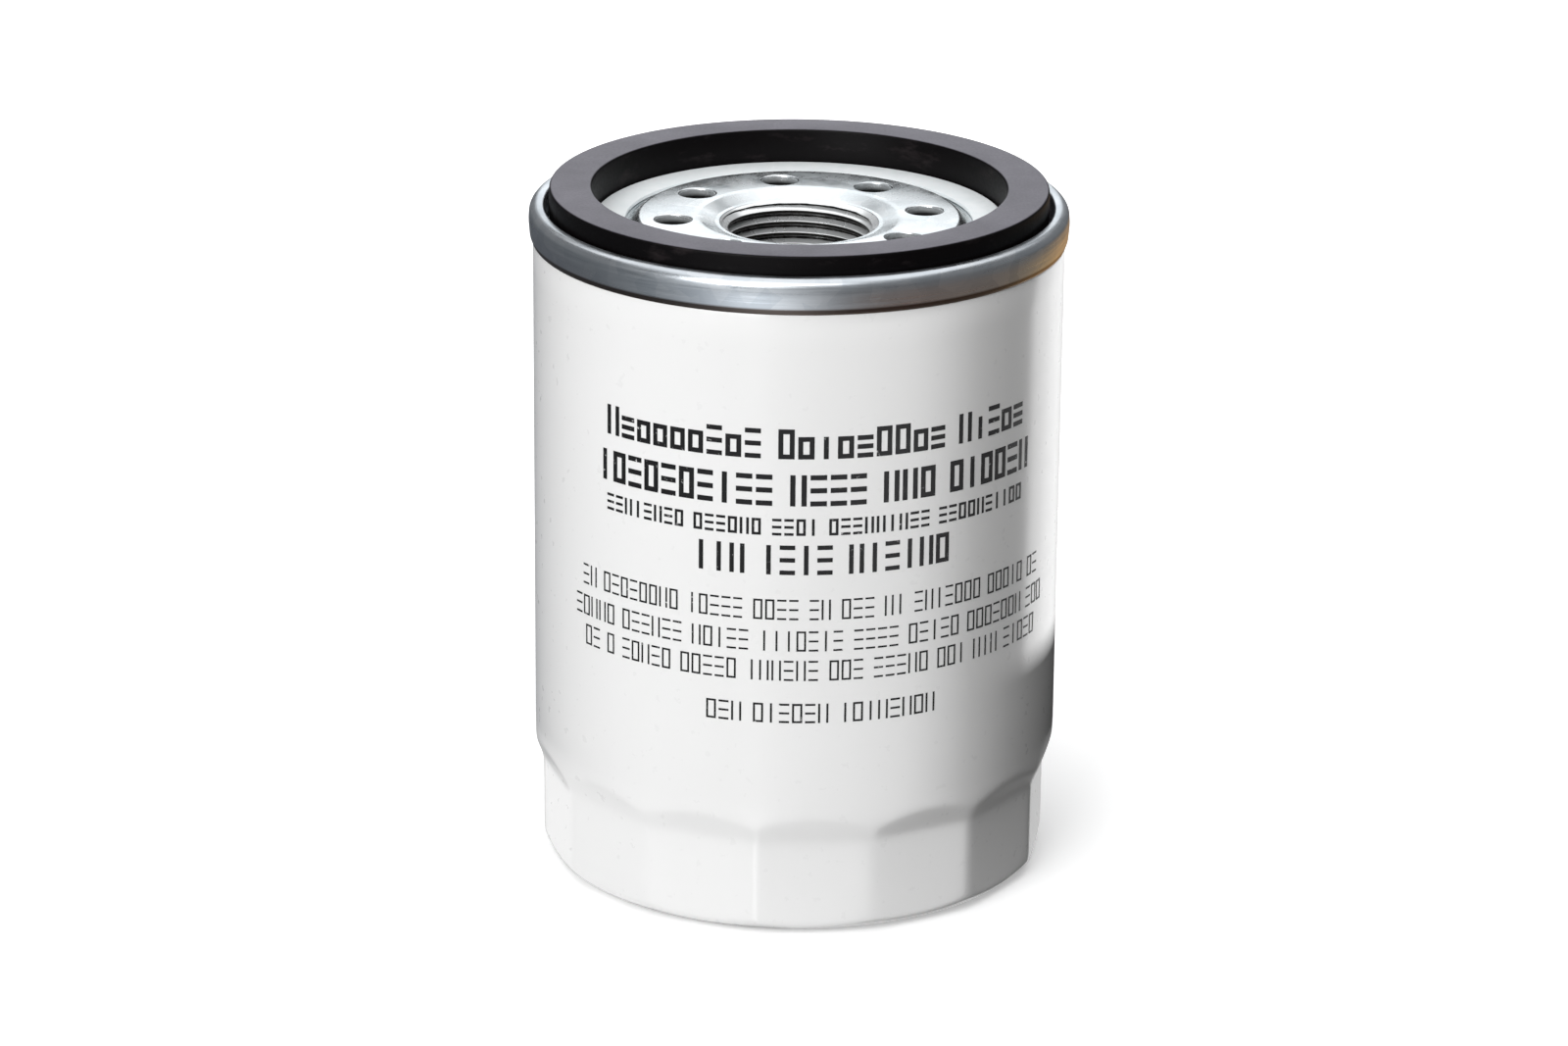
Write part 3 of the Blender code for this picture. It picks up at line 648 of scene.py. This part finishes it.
def make_seam_ring():
    """The lid: the rolled seam, the groove for the gasket, and the ring that is welded to the plate."""
    inner = SEAM_INNER_R
    sheet = LID_SHEET
    curl_inner = SEAM_OUTER_R - sheet
    outline = rounded([
        (inner, SEAM_TOP, 0.35),
        (SEAM_OUTER_R - 0.1, SEAM_TOP, 1.15),
        (SEAM_BULGE_R, (SEAM_TOP + SEAM_BOTTOM) / 2 + 0.3, 3.0),
        (SEAM_OUTER_R - 0.12, SEAM_BOTTOM + 0.8, 1.2),
        (SEAM_TUCK_R, SEAM_BOTTOM, 0.15),
        (SEAM_TUCK_R - sheet * 0.8, SEAM_BOTTOM + 0.12, 0.1),
        (curl_inner, SEAM_BOTTOM + 0.9, 0.6),
        (curl_inner, SEAM_TOP - sheet, 0.7),
        (inner + sheet, SEAM_TOP - sheet, 0.2),
        (inner + sheet, GROOVE_FLOOR - sheet, 0.6),
        (GROOVE_INNER_R - sheet, GROOVE_FLOOR - sheet, 0.3),
        (GROOVE_INNER_R - sheet, SHOULDER_TOP - sheet - 0.15),
        (GROOVE_INNER_R - sheet - 0.4, SHOULDER_TOP - sheet, 0.2),
        (LID_HOLE_R, LID_RING_TOP - sheet, 0.05),
        (LID_HOLE_R, LID_RING_TOP, 0.06),
        (GROOVE_INNER_R, SHOULDER_TOP, 0.4),
        (GROOVE_INNER_R, GROOVE_FLOOR, 0.15),
        (inner, GROOVE_FLOOR, 0.3),
    ])
    mesh = turned_mesh("seam_ring", outline, ROUND_STEPS)
    shade(mesh)
    stands_for(place("seam_ring", mesh), "seaming_lid", "housing", rolled_zinc())


def make_gasket_ring():
    """The gasket, with the slight swell and rounded edges of moulded rubber."""
    swell = 0.06
    middle = (GASKET_TOP + GASKET_BOTTOM) / 2
    outline = rounded([
        (GASKET_OUTER_R - swell, GASKET_TOP, 0.3),
        (GASKET_OUTER_R, middle, 6),
        (GASKET_OUTER_R - swell, GASKET_BOTTOM, 0.35),
        (GASKET_INNER_R + swell, GASKET_BOTTOM, 0.35),
        (GASKET_INNER_R, middle, 6),
        (GASKET_INNER_R + swell, GASKET_TOP, 0.3),
    ], 9)
    mesh = turned_mesh("gasket_ring", outline, ROUND_STEPS)
    shade(mesh, 50)
    stands_for(place("gasket_ring", mesh), "gasket", "housing", moulded_rubber())


def thread_depth(angle, z):
    """Depth of the right-hand thread's groove behind the bore, at an azimuth in radians and a height."""
    turns = (z - HUB_END) / THREAD_PITCH - angle / math.tau - THREAD_START
    off_root = abs(turns % 1 - 0.5) * THREAD_PITCH
    flank = math.tan(math.radians(60))
    root_half = THREAD_PITCH / 16
    cut = THREAD_DEPTH - max(0.0, off_root - root_half) * flank
    return soft_max(cut, 0, THREAD_SOFTNESS)


def inlet_centre(number):
    angle = math.radians(90 - INLET_PHASE) + math.tau * number / INLETS
    return Vector((math.cos(angle), math.sin(angle), 0)) * INLET_CIRCLE_R * MM


def punch_mesh():
    """The shape of one inlet, flared at the plate's top where the punch has drawn the edge in."""
    above = PLATE_TOP + 1
    below = PLATE_TOP - 2 * PLATE_SHEET
    edge_z = PLATE_TOP + NEARLY
    edge = (INLET_R, edge_z, INLET_EDGE)
    flare = rounded([(2 * INLET_R, edge_z), edge, (INLET_R, below)], 18)[1:-1]
    outline = [(0, above), (flare[0][0], above)] + flare + [(INLET_R, below), (0, below)]
    return turned_mesh("punch", outline, INLET_STEPS, closed=False)


def cut_inlets(plate):
    """Takes the inlets out of the plate, and gives the mesh that is left."""
    build = bmesh.new()
    punch = punch_mesh()
    for number in range(INLETS):
        one = punch.copy()
        one.transform(Matrix.Translation(inlet_centre(number)))
        build.from_mesh(one)
    cutter = place("inlet_cutter", finished_mesh("inlet_cutter", build))
    difference = plate.modifiers.new("inlets", "BOOLEAN")
    difference.operation = "DIFFERENCE"
    difference.object = cutter
    cut = baked_mesh(plate)
    bpy.data.objects.remove(cutter)
    return cut


def level_shading(mesh):
    """Points the shading of level faces straight up, so that no lines run out from the inlets."""
    level = {index for face in mesh.polygons if face.normal.z > 0.9999 for index in face.vertices}
    normals = [corner.vector.copy() for corner in mesh.corner_normals]
    for corner in mesh.loops:
        if corner.vertex_index in level and normals[corner.index].z > 0.7:
            normals[corner.index] = Vector((0, 0, 1))
    mesh.normals_split_custom_set(normals)


def make_plate():
    """The base plate, with its bowl, its helical thread and its inlets."""
    bore_top = THREAD_RIM_Z - THREAD_RIM_DROP
    bore_low = HUB_END + THREAD_CHAMFER
    rim_start = (THREAD_RIM_R - THREAD_RIM_BREAK, THREAD_RIM_Z - THREAD_RIM_BREAK)
    outside = rounded([
        (PLATE_R, PLATE_EDGE_TOP, 0.5),
        (PLATE_R, PLATE_EDGE_TOP - PLATE_SHEET, 0.5),
        (EDGE_STEP_R, PLATE_EDGE_TOP - PLATE_SHEET, 1.0),
        (MIDDLE_OUTER_R, PLATE_MIDDLE_TOP - PLATE_SHEET, 1.0),
        (MIDDLE_INNER_R, PLATE_MIDDLE_TOP - PLATE_SHEET, 0.8),
        (BOWL_R, PLATE_TOP - PLATE_SHEET, 0.6),
        (HUB_R, PLATE_TOP - PLATE_SHEET, 1.2),
        (HUB_R, HUB_END, 0.3),
        (THREAD_MINOR_R + THREAD_CHAMFER, HUB_END),
    ])
    bore = [(THREAD_MINOR_R, bore_low)]
    bore += stretch(bore[0], (THREAD_MINOR_R, bore_top), THREAD_PITCH / THREAD_ROWS)
    bore += stretch((THREAD_MINOR_R, bore_top), rim_start, 0.09)
    top = rounded([
        rim_start,
        (THREAD_RIM_R, THREAD_RIM_Z),
        (THREAD_RIM_R + 0.5, THREAD_RIM_Z + 0.02, 0.4),
        (BOWL_START_R, PLATE_TOP, 2.6),
        (BOWL_R, PLATE_TOP, 0.8),
        (MIDDLE_INNER_R, PLATE_MIDDLE_TOP, 0.8),
        (MIDDLE_OUTER_R, PLATE_MIDDLE_TOP, 0.8),
        (EDGE_STEP_R, PLATE_EDGE_TOP, 0.8),
        (PLATE_R, PLATE_EDGE_TOP),
    ])[1:-1]
    mesh = turned_mesh("plate", outside + bore + top, PLATE_STEPS)
    for vertex in mesh.vertices:
        radius = math.hypot(vertex.co.x, vertex.co.y) / MM
        z = vertex.co.z / MM
        if radius < THREAD_RIM_R - THREAD_END and bore_low - NEARLY < z < THREAD_RIM_Z:
            groove = THREAD_MINOR_R + thread_depth(azimuth(vertex), z)
            set_radius(vertex, max(radius, groove))
    mesh = cut_inlets(place("plate", mesh))
    shade(mesh, 40)
    level_shading(mesh)
    stands_for(place("plate", mesh), "base_plate", "housing", plate_zinc())


def coil_mesh(name, radius, wire, turns, bottom, top):
    """A coil spring with one closed turn at each end."""
    dead_rise = wire * CLOSED_RISE
    low = bottom + wire / 2
    high = top - wire / 2
    live_rise = (high - low - 2 * dead_rise) / (turns - 2)
    count = turns * COIL_STEPS
    curve = bpy.data.curves.new(name, "CURVE")
    curve.dimensions = "3D"
    curve.bevel_depth = wire / 2 * MM
    curve.bevel_resolution = 4
    curve.use_fill_caps = True
    spline = curve.splines.new("POLY")
    spline.points.add(count)
    for index, point in enumerate(spline.points):
        turn = turns * index / count
        live = min(max(turn - 1, 0), turns - 2)
        z = low + dead_rise * (turn - live) + live_rise * live
        angle = math.tau * turn
        point.co = (radius * math.cos(angle) * MM, radius * math.sin(angle) * MM, z * MM, 1)
    mesh = baked_mesh(place(name, curve))
    mesh.name = name
    weld(mesh)
    shade(mesh, 50)
    return mesh


def make_spring(name, node, body, turns, wire, material):
    """A coil in the place of a CAD spring, attached to the spring's body."""
    low = bottom_of(node)
    high = top_of(node)
    radius = widest(node) - wire / 2
    coil = place(name, coil_mesh(name, radius, wire, turns, low, high))
    stands_for(coil, node, body, material)
    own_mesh(coil)


def make_valve_lip():
    """The anti-drain valve, with its sleeve on the hub and its wide lip."""
    low = bottom_of("anti_drain_valve")
    high = top_of("anti_drain_valve")
    bore = narrowest("anti_drain_valve")
    lip_r = widest("anti_drain_valve")
    flange_r = widest("anti_drain_valve", low - 0.1, low + 0.3)
    flange_top = low + VALVE_FLANGE
    sleeve_top = low + VALVE_SLEEVE
    bend_start = flange_top + 0.2
    outline = rounded([
        (bore + 1.2, sleeve_top, 0.4),
        (bore + 1.5, flange_top + 0.3, 0.6),
        (flange_r - 0.4, bend_start, 1.5),
        (lip_r - 1.4, high, 0.6),
        (lip_r, high, 0.25),
        (lip_r - 0.4, high - 0.8, 0.3),
        (flange_r, low, 0.8),
        (bore, low, 0.2),
        (bore, sleeve_top, 0.3),
    ])
    mesh = turned_mesh("valve_lip", outline, VALVE_STEPS)
    shade(mesh, 40)
    valve = place("valve_lip", mesh)
    valve.data.materials.append(valve_rubber())
    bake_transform(valve)
    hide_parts("anti_drain_valve")


# Printing: rows of plain marks, in place of lettering

PRINT_R = CASE_R + 0.03
PRINT_INK = 0.04
PRINT_CENTRE = 6.0  # azimuth of the middle of the printed rows
PRINT_COLUMN = 0.8  # longest straight piece of a mark's curve round the case
WORD_GAP = 0.7  # of a mark's step
MARK_GAP = 0.18  # of a mark's step, and at least LEAST_GAP
LEAST_GAP = 0.35
SHORT_MARK = 0.75  # height of a short mark, as a share of a tall one's
TALL_CHANCE = 0.2

# Each row: lowest edge, height, length, marks in each word, stroke, whether all marks are tall
PRINT_ROWS = (
    (65.16, 3.9, 60.5, (9, 9, 5), 0.62, False),
    (58.97, 4.1, 63.5, (10, 4, 3, 6), 0.66, True),
    (55.08, 2.2, 60.5, (8, 6, 4, 9, 10), 0.34, True),
    (49.87, 3.9, 34.0, (3, 4, 6), 0.58, True),
    (43.85, 2.7, 70.0, (2, 8, 5, 4, 2, 3, 2, 7, 5, 2), 0.24, True),
    (39.65, 2.7, 73.0, (5, 6, 5, 7, 4, 5, 7, 3), 0.24, True),
    (35.69, 2.7, 69.0, (2, 1, 5, 5, 6, 3, 5, 3, 3, 5), 0.24, True),
    (29.99, 2.6, 30.4, (3, 6, 8), 0.26, True),
)


def curved_block(build, left, right, low, high):
    """A thin block that lies on the case, between two distances round it and two heights."""
    columns = max(1, math.ceil((right - left) / PRINT_COLUMN))
    inside = PRINT_R - PRINT_INK
    rings = []
    for column in range(columns + 1):
        angle = (left + (right - left) * column / columns) / CASE_R + math.radians(PRINT_CENTRE)
        ring = []
        for radius, z in ((PRINT_R, low), (PRINT_R, high), (inside, high), (inside, low)):
            x = radius * math.sin(angle)
            y = -radius * math.cos(angle)
            ring.append(build.verts.new((x * MM, y * MM, z * MM)))
        rings.append(ring)
    for first, second in zip(rings, rings[1:]):
        for side in range(4):
            after = (side + 1) % 4
            build.faces.new((first[side], second[side], second[after], first[after]))
    build.faces.new(rings[0])
    build.faces.new(rings[-1][::-1])


def upright(build, middle, stroke, low, high):
    curved_block(build, middle - stroke / 2, middle + stroke / 2, low, high)


def level_bar(build, left, right, middle, stroke):
    curved_block(build, left, right, middle - stroke / 2, middle + stroke / 2)


def mark_frame(build, left, right, low, high, stroke):
    """An open rectangle."""
    upright(build, left + stroke / 2, stroke, low, high)
    upright(build, right - stroke / 2, stroke, low, high)
    level_bar(build, left + stroke, right - stroke, low + stroke / 2, stroke)
    level_bar(build, left + stroke, right - stroke, high - stroke / 2, stroke)


def mark_pair(build, left, right, low, high, stroke):
    """Two uprights."""
    upright(build, left + stroke / 2, stroke, low, high)
    upright(build, right - stroke / 2, stroke, low, high)


def mark_bars(build, left, right, low, high, stroke):
    """Three level bars, one above the other."""
    for middle in (low + stroke / 2, (low + high) / 2, high - stroke / 2):
        level_bar(build, left, right, middle, stroke)


def mark_post(build, left, right, low, high, stroke):
    """One upright."""
    upright(build, (left + right) / 2, stroke, low, high)


# A mark that is listed twice is drawn twice as often
MARKS = (mark_frame, mark_frame, mark_pair, mark_bars, mark_bars, mark_post)


def make_print_row(build, row, chance):
    """One row of marks, grouped like words."""
    low, height, length, words, stroke, all_tall = row
    places = sum(words) + WORD_GAP * (len(words) - 1)
    step = length / places
    gap = max(MARK_GAP * step, LEAST_GAP)
    cursor = -length / 2
    for word in words:
        for place_in_word in range(word):
            tall = all_tall or place_in_word == 0 or chance.random() < TALL_CHANCE
            top = low + height * (1 if tall else SHORT_MARK)
            draw = chance.choice(MARKS)
            draw(build, cursor + gap / 2, cursor + step - gap / 2, low, top, stroke)
            cursor += step
        cursor += WORD_GAP * step


def make_print():
    """The printed rows, as thin ink on the case."""
    chance = random.Random(7)
    build = bmesh.new()
    for row in PRINT_ROWS:
        make_print_row(build, row, chance)
    bmesh.ops.recalc_face_normals(build, faces=build.faces)
    marks = place("printed_marks", finished_mesh("printed_marks", build))
    marks.data.materials.append(printing_ink())
    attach(marks, "housing")


def dress(nodes, material):
    """Gives CAD nodes that stay a better material."""
    for node in nodes:
        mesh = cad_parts[node].data
        mesh.materials.clear()
        mesh.materials.append(material)


def make_filter():
    make_can()
    make_seam_ring()
    make_gasket_ring()
    make_plate()
    steel = spring_wire()
    make_spring("support_coil", "support_spring", "housing", 4, 2.0, steel)
    make_spring("bypass_coil", "bypass_spring", "element", 6, 0.9, steel)
    make_valve_lip()
    make_print()
    tin = tinned_sheet()
    dress(["top_end_cap", "bottom_end_cap", "spring_seat", "centre_tube", "media_clip", "bypass_cage"], tin)
    dress(["bypass_seat", "bypass_poppet"], turned_zinc())
    dress(["bypass_seal"], moulded_rubber())
    dress(["pleated_media"], filter_paper())
    dress(["top_potting", "bottom_potting"], potting())
    dress(["seam_compound"], sealant())


# Studio

LIGHT_AIM = (0, 0, 50)
SKY = 1.0  # strength of the white that the camera sees
ROOM = 0.08  # strength of the room that lights matt surfaces
MIRRORED = 0.22  # strength of the room that glossy surfaces reflect


def look_along(direction):
    """Rotation of a light or camera that points along a direction."""
    return direction.to_track_quat("-Z", "Y")


def direction_from(azimuth_deg, elevation_deg):
    """Direction from the filter towards an azimuth (front 0, towards +X) and an elevation."""
    turn = math.radians(azimuth_deg)
    lift = math.radians(elevation_deg)
    return Vector((math.sin(turn) * math.cos(lift), -math.cos(turn) * math.cos(lift), math.sin(lift)))


def add_light(name, azimuth_deg, elevation_deg, distance, width, height, power):
    """A soft box that points at the filter. Its distance and size are in metres, its power in watts."""
    back = direction_from(azimuth_deg, elevation_deg)
    lamp = bpy.data.lights.new(name, "AREA")
    lamp.shape = "RECTANGLE"
    lamp.size = width
    lamp.size_y = height
    lamp.energy = power
    obj = place(name, lamp)
    obj.rotation_mode = "QUATERNION"
    obj.rotation_quaternion = look_along(-back)
    obj.location = Vector(LIGHT_AIM) * MM + back * distance
    obj.visible_camera = False


# What the filter's faces reflect from below the horizon. The floor shows each glossy ray a colour that
# depends on the azimuth it goes in and on the height of the face it comes from. A stop is an azimuth in
# degrees and a colour, or a single value for grey.
FLATS_SEE = (
    (-180, 0.25), (-165, 0.5), (-150, 1.2), (-138, 1.2), (-100, 0.8), (-28, 0.5), (-20, 2.2),
    (-14, 2.2), (-6, 0.5), (28, 0.8), (48, 1.6), (66, 1.6), (82, (0.06, 0.055, 0.05)), (140, 0.03),
    (155, 0.9), (180, 0.6),
)
CASE_FRONT_SEES = (
    (-180, (0.3, 0.31, 0.33)), (-100, 0.3), (-45, 0.3), (-28, 0.4), (-20, 0.9), (-14, 0.9), (-6, 0.7),
    (12, 1.1), (30, 1.8), (52, 2.3), (66, 1.5), (84, (0.3, 0.29, 0.28)),
)
FOOT_SEES = CASE_FRONT_SEES + ((106, 0.04), (180, 0.02))
CASE_SEES = CASE_FRONT_SEES + (
    (104, 0.5), (118, 0.8), (125, 2.6), (142, 2.3), (156, 1.7), (168, 1.0), (180, 0.7),
)
SEAM_SEES = (
    (-180, (0.05, 0.052, 0.06)), (-148, (0.1, 0.105, 0.12)), (-104, (0.13, 0.135, 0.145)),
    (-62, (0.22, 0.235, 0.25)), (-38, (0.6, 0.63, 0.67)), (-20, (1.6, 1.65, 1.7)), (-6, (1.1, 1.12, 1.14)),
    (8, (0.6, 0.6, 0.61)), (16, (0.3, 0.285, 0.28)), (30, (0.2, 0.165, 0.15)), (46, (0.2, 0.148, 0.125)),
    (104, (0.19, 0.15, 0.12)), (120, (0.26, 0.2, 0.135)), (136, (0.55, 0.36, 0.18)), (152, (0.85, 0.49, 0.2)),
    (176, (0.5, 0.27, 0.12)),
)
HORIZON = (0.13, 0.14, 0.15)  # what rays from the seam that run nearly level show

# Heights of faces, in metres, over which one of these gives way to the next
FLATS_TOP = (0.013, 0.019)
FOOT_TOP = (0.030, 0.034)
SEAM_FOOT = (0.0836, 0.0842)
LEVEL_RAY = (0.12, 0.36)  # slopes over which a ray from the seam leaves the horizon for the floor

# The floor itself, with distances in metres
GLOW_RANGE = (0.3, 0.9)  # strength of the floor's own light, near the filter and away from it
GLOW_REACH = (0.03, 0.1)  # distances from the axis between which it grows
TABLE_LEFT = (0.8, 0.8, 0.8)  # colours with which the floor lights matt surfaces
TABLE_RIGHT = (0.06, 0.055, 0.05)
TABLE_EDGE = (0.0, 0.05)  # x between which the first of them gives way to the second
FLOOR_HALF = 3.0
FLOOR_DROP = 0.00005  # keeps the floor clear of the filter's foot


def ramp(shader, source, stops):
    """A colour that runs through stops of (degrees, colour or grey), by a source in radians."""
    share = shader.spread(source, 0, 1, -math.pi, math.pi)
    blend = shader.node("ShaderNodeValToRGB")
    shader.link(share, blend.inputs["Fac"])
    elements = blend.color_ramp.elements
    while len(elements) < len(stops):
        elements.new(0.5)
    for element, (degrees, colour) in zip(elements, stops):
        if not isinstance(colour, tuple):
            colour = (colour, colour, colour)
        element.position = (degrees + 180) / 360
        element.color = (*colour, 1)
    return blend.outputs["Color"]


def ray_back(shader):
    """Direction from the point that a ray meets back to where the ray left."""
    return shader.node("ShaderNodeNewGeometry").outputs["Incoming"]


def ray_azimuth(shader):
    """Azimuth of the ray that meets the floor, in radians from the front, -Y, towards +X."""
    back = ray_back(shader)
    turn = shader.node("ShaderNodeMath", operation="ARCTAN2")
    flip = shader.node("ShaderNodeMath", operation="MULTIPLY")
    flip.inputs[1].default_value = -1
    shader.link(shader.part_of(back, "X"), flip.inputs[0])
    shader.link(flip.outputs[0], turn.inputs[0])
    shader.link(shader.part_of(back, "Y"), turn.inputs[1])
    return turn.outputs[0]


def seen_by_filter(shader, path):
    """What the filter's glossy faces reflect from below the horizon."""
    turn = ray_azimuth(shader)
    slope = shader.part_of(ray_back(shader), "Z")
    height_of_face = shader.times(path.outputs["Ray Length"], slope)
    flats = shader.spread(height_of_face, 1, 0, *FLATS_TOP)
    foot = shader.spread(height_of_face, 1, 0, *FOOT_TOP)
    seam = shader.spread(height_of_face, 0, 1, *SEAM_FOOT)
    by_case = shader.mix(foot, ramp(shader, turn, CASE_SEES), ramp(shader, turn, FOOT_SEES))
    below_seam = shader.mix(flats, by_case, ramp(shader, turn, FLATS_SEE))
    table_ahead = shader.spread(slope, 0, 1, *LEVEL_RAY)
    by_seam = shader.mix(table_ahead, HORIZON, ramp(shader, turn, SEAM_SEES))
    return shader.mix(seam, below_seam, by_seam)


def by_ray(tree, path, kind, others, chosen):
    """A shader that shows one kind of ray something else than the others."""
    mix = tree.nodes.new("ShaderNodeMixShader")
    tree.links.new(path.outputs[kind], mix.inputs["Fac"])
    tree.links.new(others, mix.inputs[1])
    tree.links.new(chosen, mix.inputs[2])
    return mix.outputs[0]


def floor_paint():
    """Pale matt floor for the camera, a table for matt surfaces, and a studio for glossy ones."""
    pale = Shader("pale_floor", (0.9, 0.9, 0.9), 0.85)
    path = pale.node("ShaderNodeLightPath")
    glow = pale.node("ShaderNodeEmission")
    pale.link(pale.spread(pale.off_axis(), *GLOW_RANGE, *GLOW_REACH), glow.inputs["Strength"])
    lit = pale.node("ShaderNodeAddShader")
    pale.link(pale.surface.outputs[0], lit.inputs[0])
    pale.link(glow.outputs[0], lit.inputs[1])
    table = pale.node("ShaderNodeBsdfDiffuse")
    sideways = pale.spread(pale.part_of(pale.place, "X"), 0, 1, *TABLE_EDGE)
    pale.link(pale.mix(sideways, TABLE_LEFT, TABLE_RIGHT), table.inputs["Color"])
    reflected = pale.node("ShaderNodeEmission")
    pale.link(seen_by_filter(pale, path), reflected.inputs["Color"])
    unseen = by_ray(pale.tree, path, "Is Glossy Ray", table.outputs[0], reflected.outputs[0])
    seen = by_ray(pale.tree, path, "Is Camera Ray", unseen, lit.outputs[0])
    pale.link(seen, pale.tree.nodes["Material Output"].inputs["Surface"])
    return pale.material


def square_mesh(name, half):
    """A level square that reaches half its side, in metres, from its middle."""
    build = bmesh.new()
    bmesh.ops.create_grid(build, x_segments=1, y_segments=1, size=half)
    return finished_mesh(name, build)


def make_floor():
    mesh = square_mesh("floor", FLOOR_HALF)
    mesh.materials.append(floor_paint())
    floor = place("floor", mesh)
    floor.location.z = -FLOOR_DROP


def make_world():
    """White for the camera, a dim room for matt surfaces and a less dim one for glossy surfaces."""
    world = bpy.data.worlds.new("studio")
    bpy.context.scene.world = world
    world.use_nodes = True
    tree = world.node_tree
    tree.nodes.clear()

    def background(colour, strength):
        made = tree.nodes.new("ShaderNodeBackground")
        made.inputs["Color"].default_value = (*colour, 1)
        made.inputs["Strength"].default_value = strength
        return made.outputs[0]

    path = tree.nodes.new("ShaderNodeLightPath")
    room = background((0.93, 0.96, 1.0), ROOM)
    unseen = by_ray(tree, path, "Is Glossy Ray", room, background((0.95, 0.97, 1.0), MIRRORED))
    seen = by_ray(tree, path, "Is Camera Ray", unseen, background((1, 1, 1), SKY))
    output = tree.nodes.new("ShaderNodeOutputWorld")
    tree.links.new(seen, output.inputs["Surface"])


BACKDROP_DISTANCE = 600
BACKDROP_WIDTH = 250
BACKDROP_HEIGHT = 800
BACKDROP_COLOUR = (0.95, 0.98, 1.0)
BACKDROP_GLOW = 1.42


def make_backdrop():
    """An upright card behind the filter that only its reflections show."""
    back = direction_from(180, 0)
    mesh = square_mesh("backdrop", 0.5)
    card = place("backdrop", mesh)
    card.scale = (BACKDROP_WIDTH * MM, BACKDROP_HEIGHT * MM, 1)
    card.rotation_mode = "QUATERNION"
    card.rotation_quaternion = look_along(-back)
    card.location = (back * BACKDROP_DISTANCE + Vector((0, 0, BACKDROP_HEIGHT / 2))) * MM
    card.visible_camera = False
    card.visible_shadow = False
    card.visible_diffuse = False
    paint = Shader("backdrop", (0, 0, 0), 0.9)
    paint.set("Emission Color", (*BACKDROP_COLOUR, 1))
    paint.set("Emission Strength", BACKDROP_GLOW)
    mesh.materials.append(paint.material)


CAMERA_AIM = (-1.59, 0, 44.73)
CAMERA_DISTANCE = 747.3
CAMERA_ELEVATION = 19.35
CAMERA_ROLL = 0.53
CAMERA_LENS = 130.8
CAMERA_SENSOR = 36
CAMERA_SEES = (0.05, 20)  # nearest and furthest, in metres


def make_camera():
    back = direction_from(0, CAMERA_ELEVATION)
    camera = place("camera", bpy.data.cameras.new("camera"))
    camera.data.lens = CAMERA_LENS
    camera.data.sensor_width = CAMERA_SENSOR
    camera.data.clip_start, camera.data.clip_end = CAMERA_SEES
    camera.location = (Vector(CAMERA_AIM) + back * CAMERA_DISTANCE) * MM
    roll = Matrix.Rotation(math.radians(CAMERA_ROLL), 4, "Z").to_quaternion()
    camera.rotation_mode = "QUATERNION"
    camera.rotation_quaternion = look_along(-back) @ roll
    bpy.context.scene.camera = camera


def make_studio():
    add_light("key", -29, 22, 1.0, 0.6, 0.6, 5.7)
    add_light("front", -9, 46, 0.9, 0.8, 0.4, 2.5)
    add_light("overhead", 180, 80, 0.8, 1.2, 1.2, 5.2)
    make_backdrop()
    make_floor()
    make_world()
    make_camera()
    bpy.context.scene.view_settings.view_transform = "Standard"


make_filter()
make_studio()
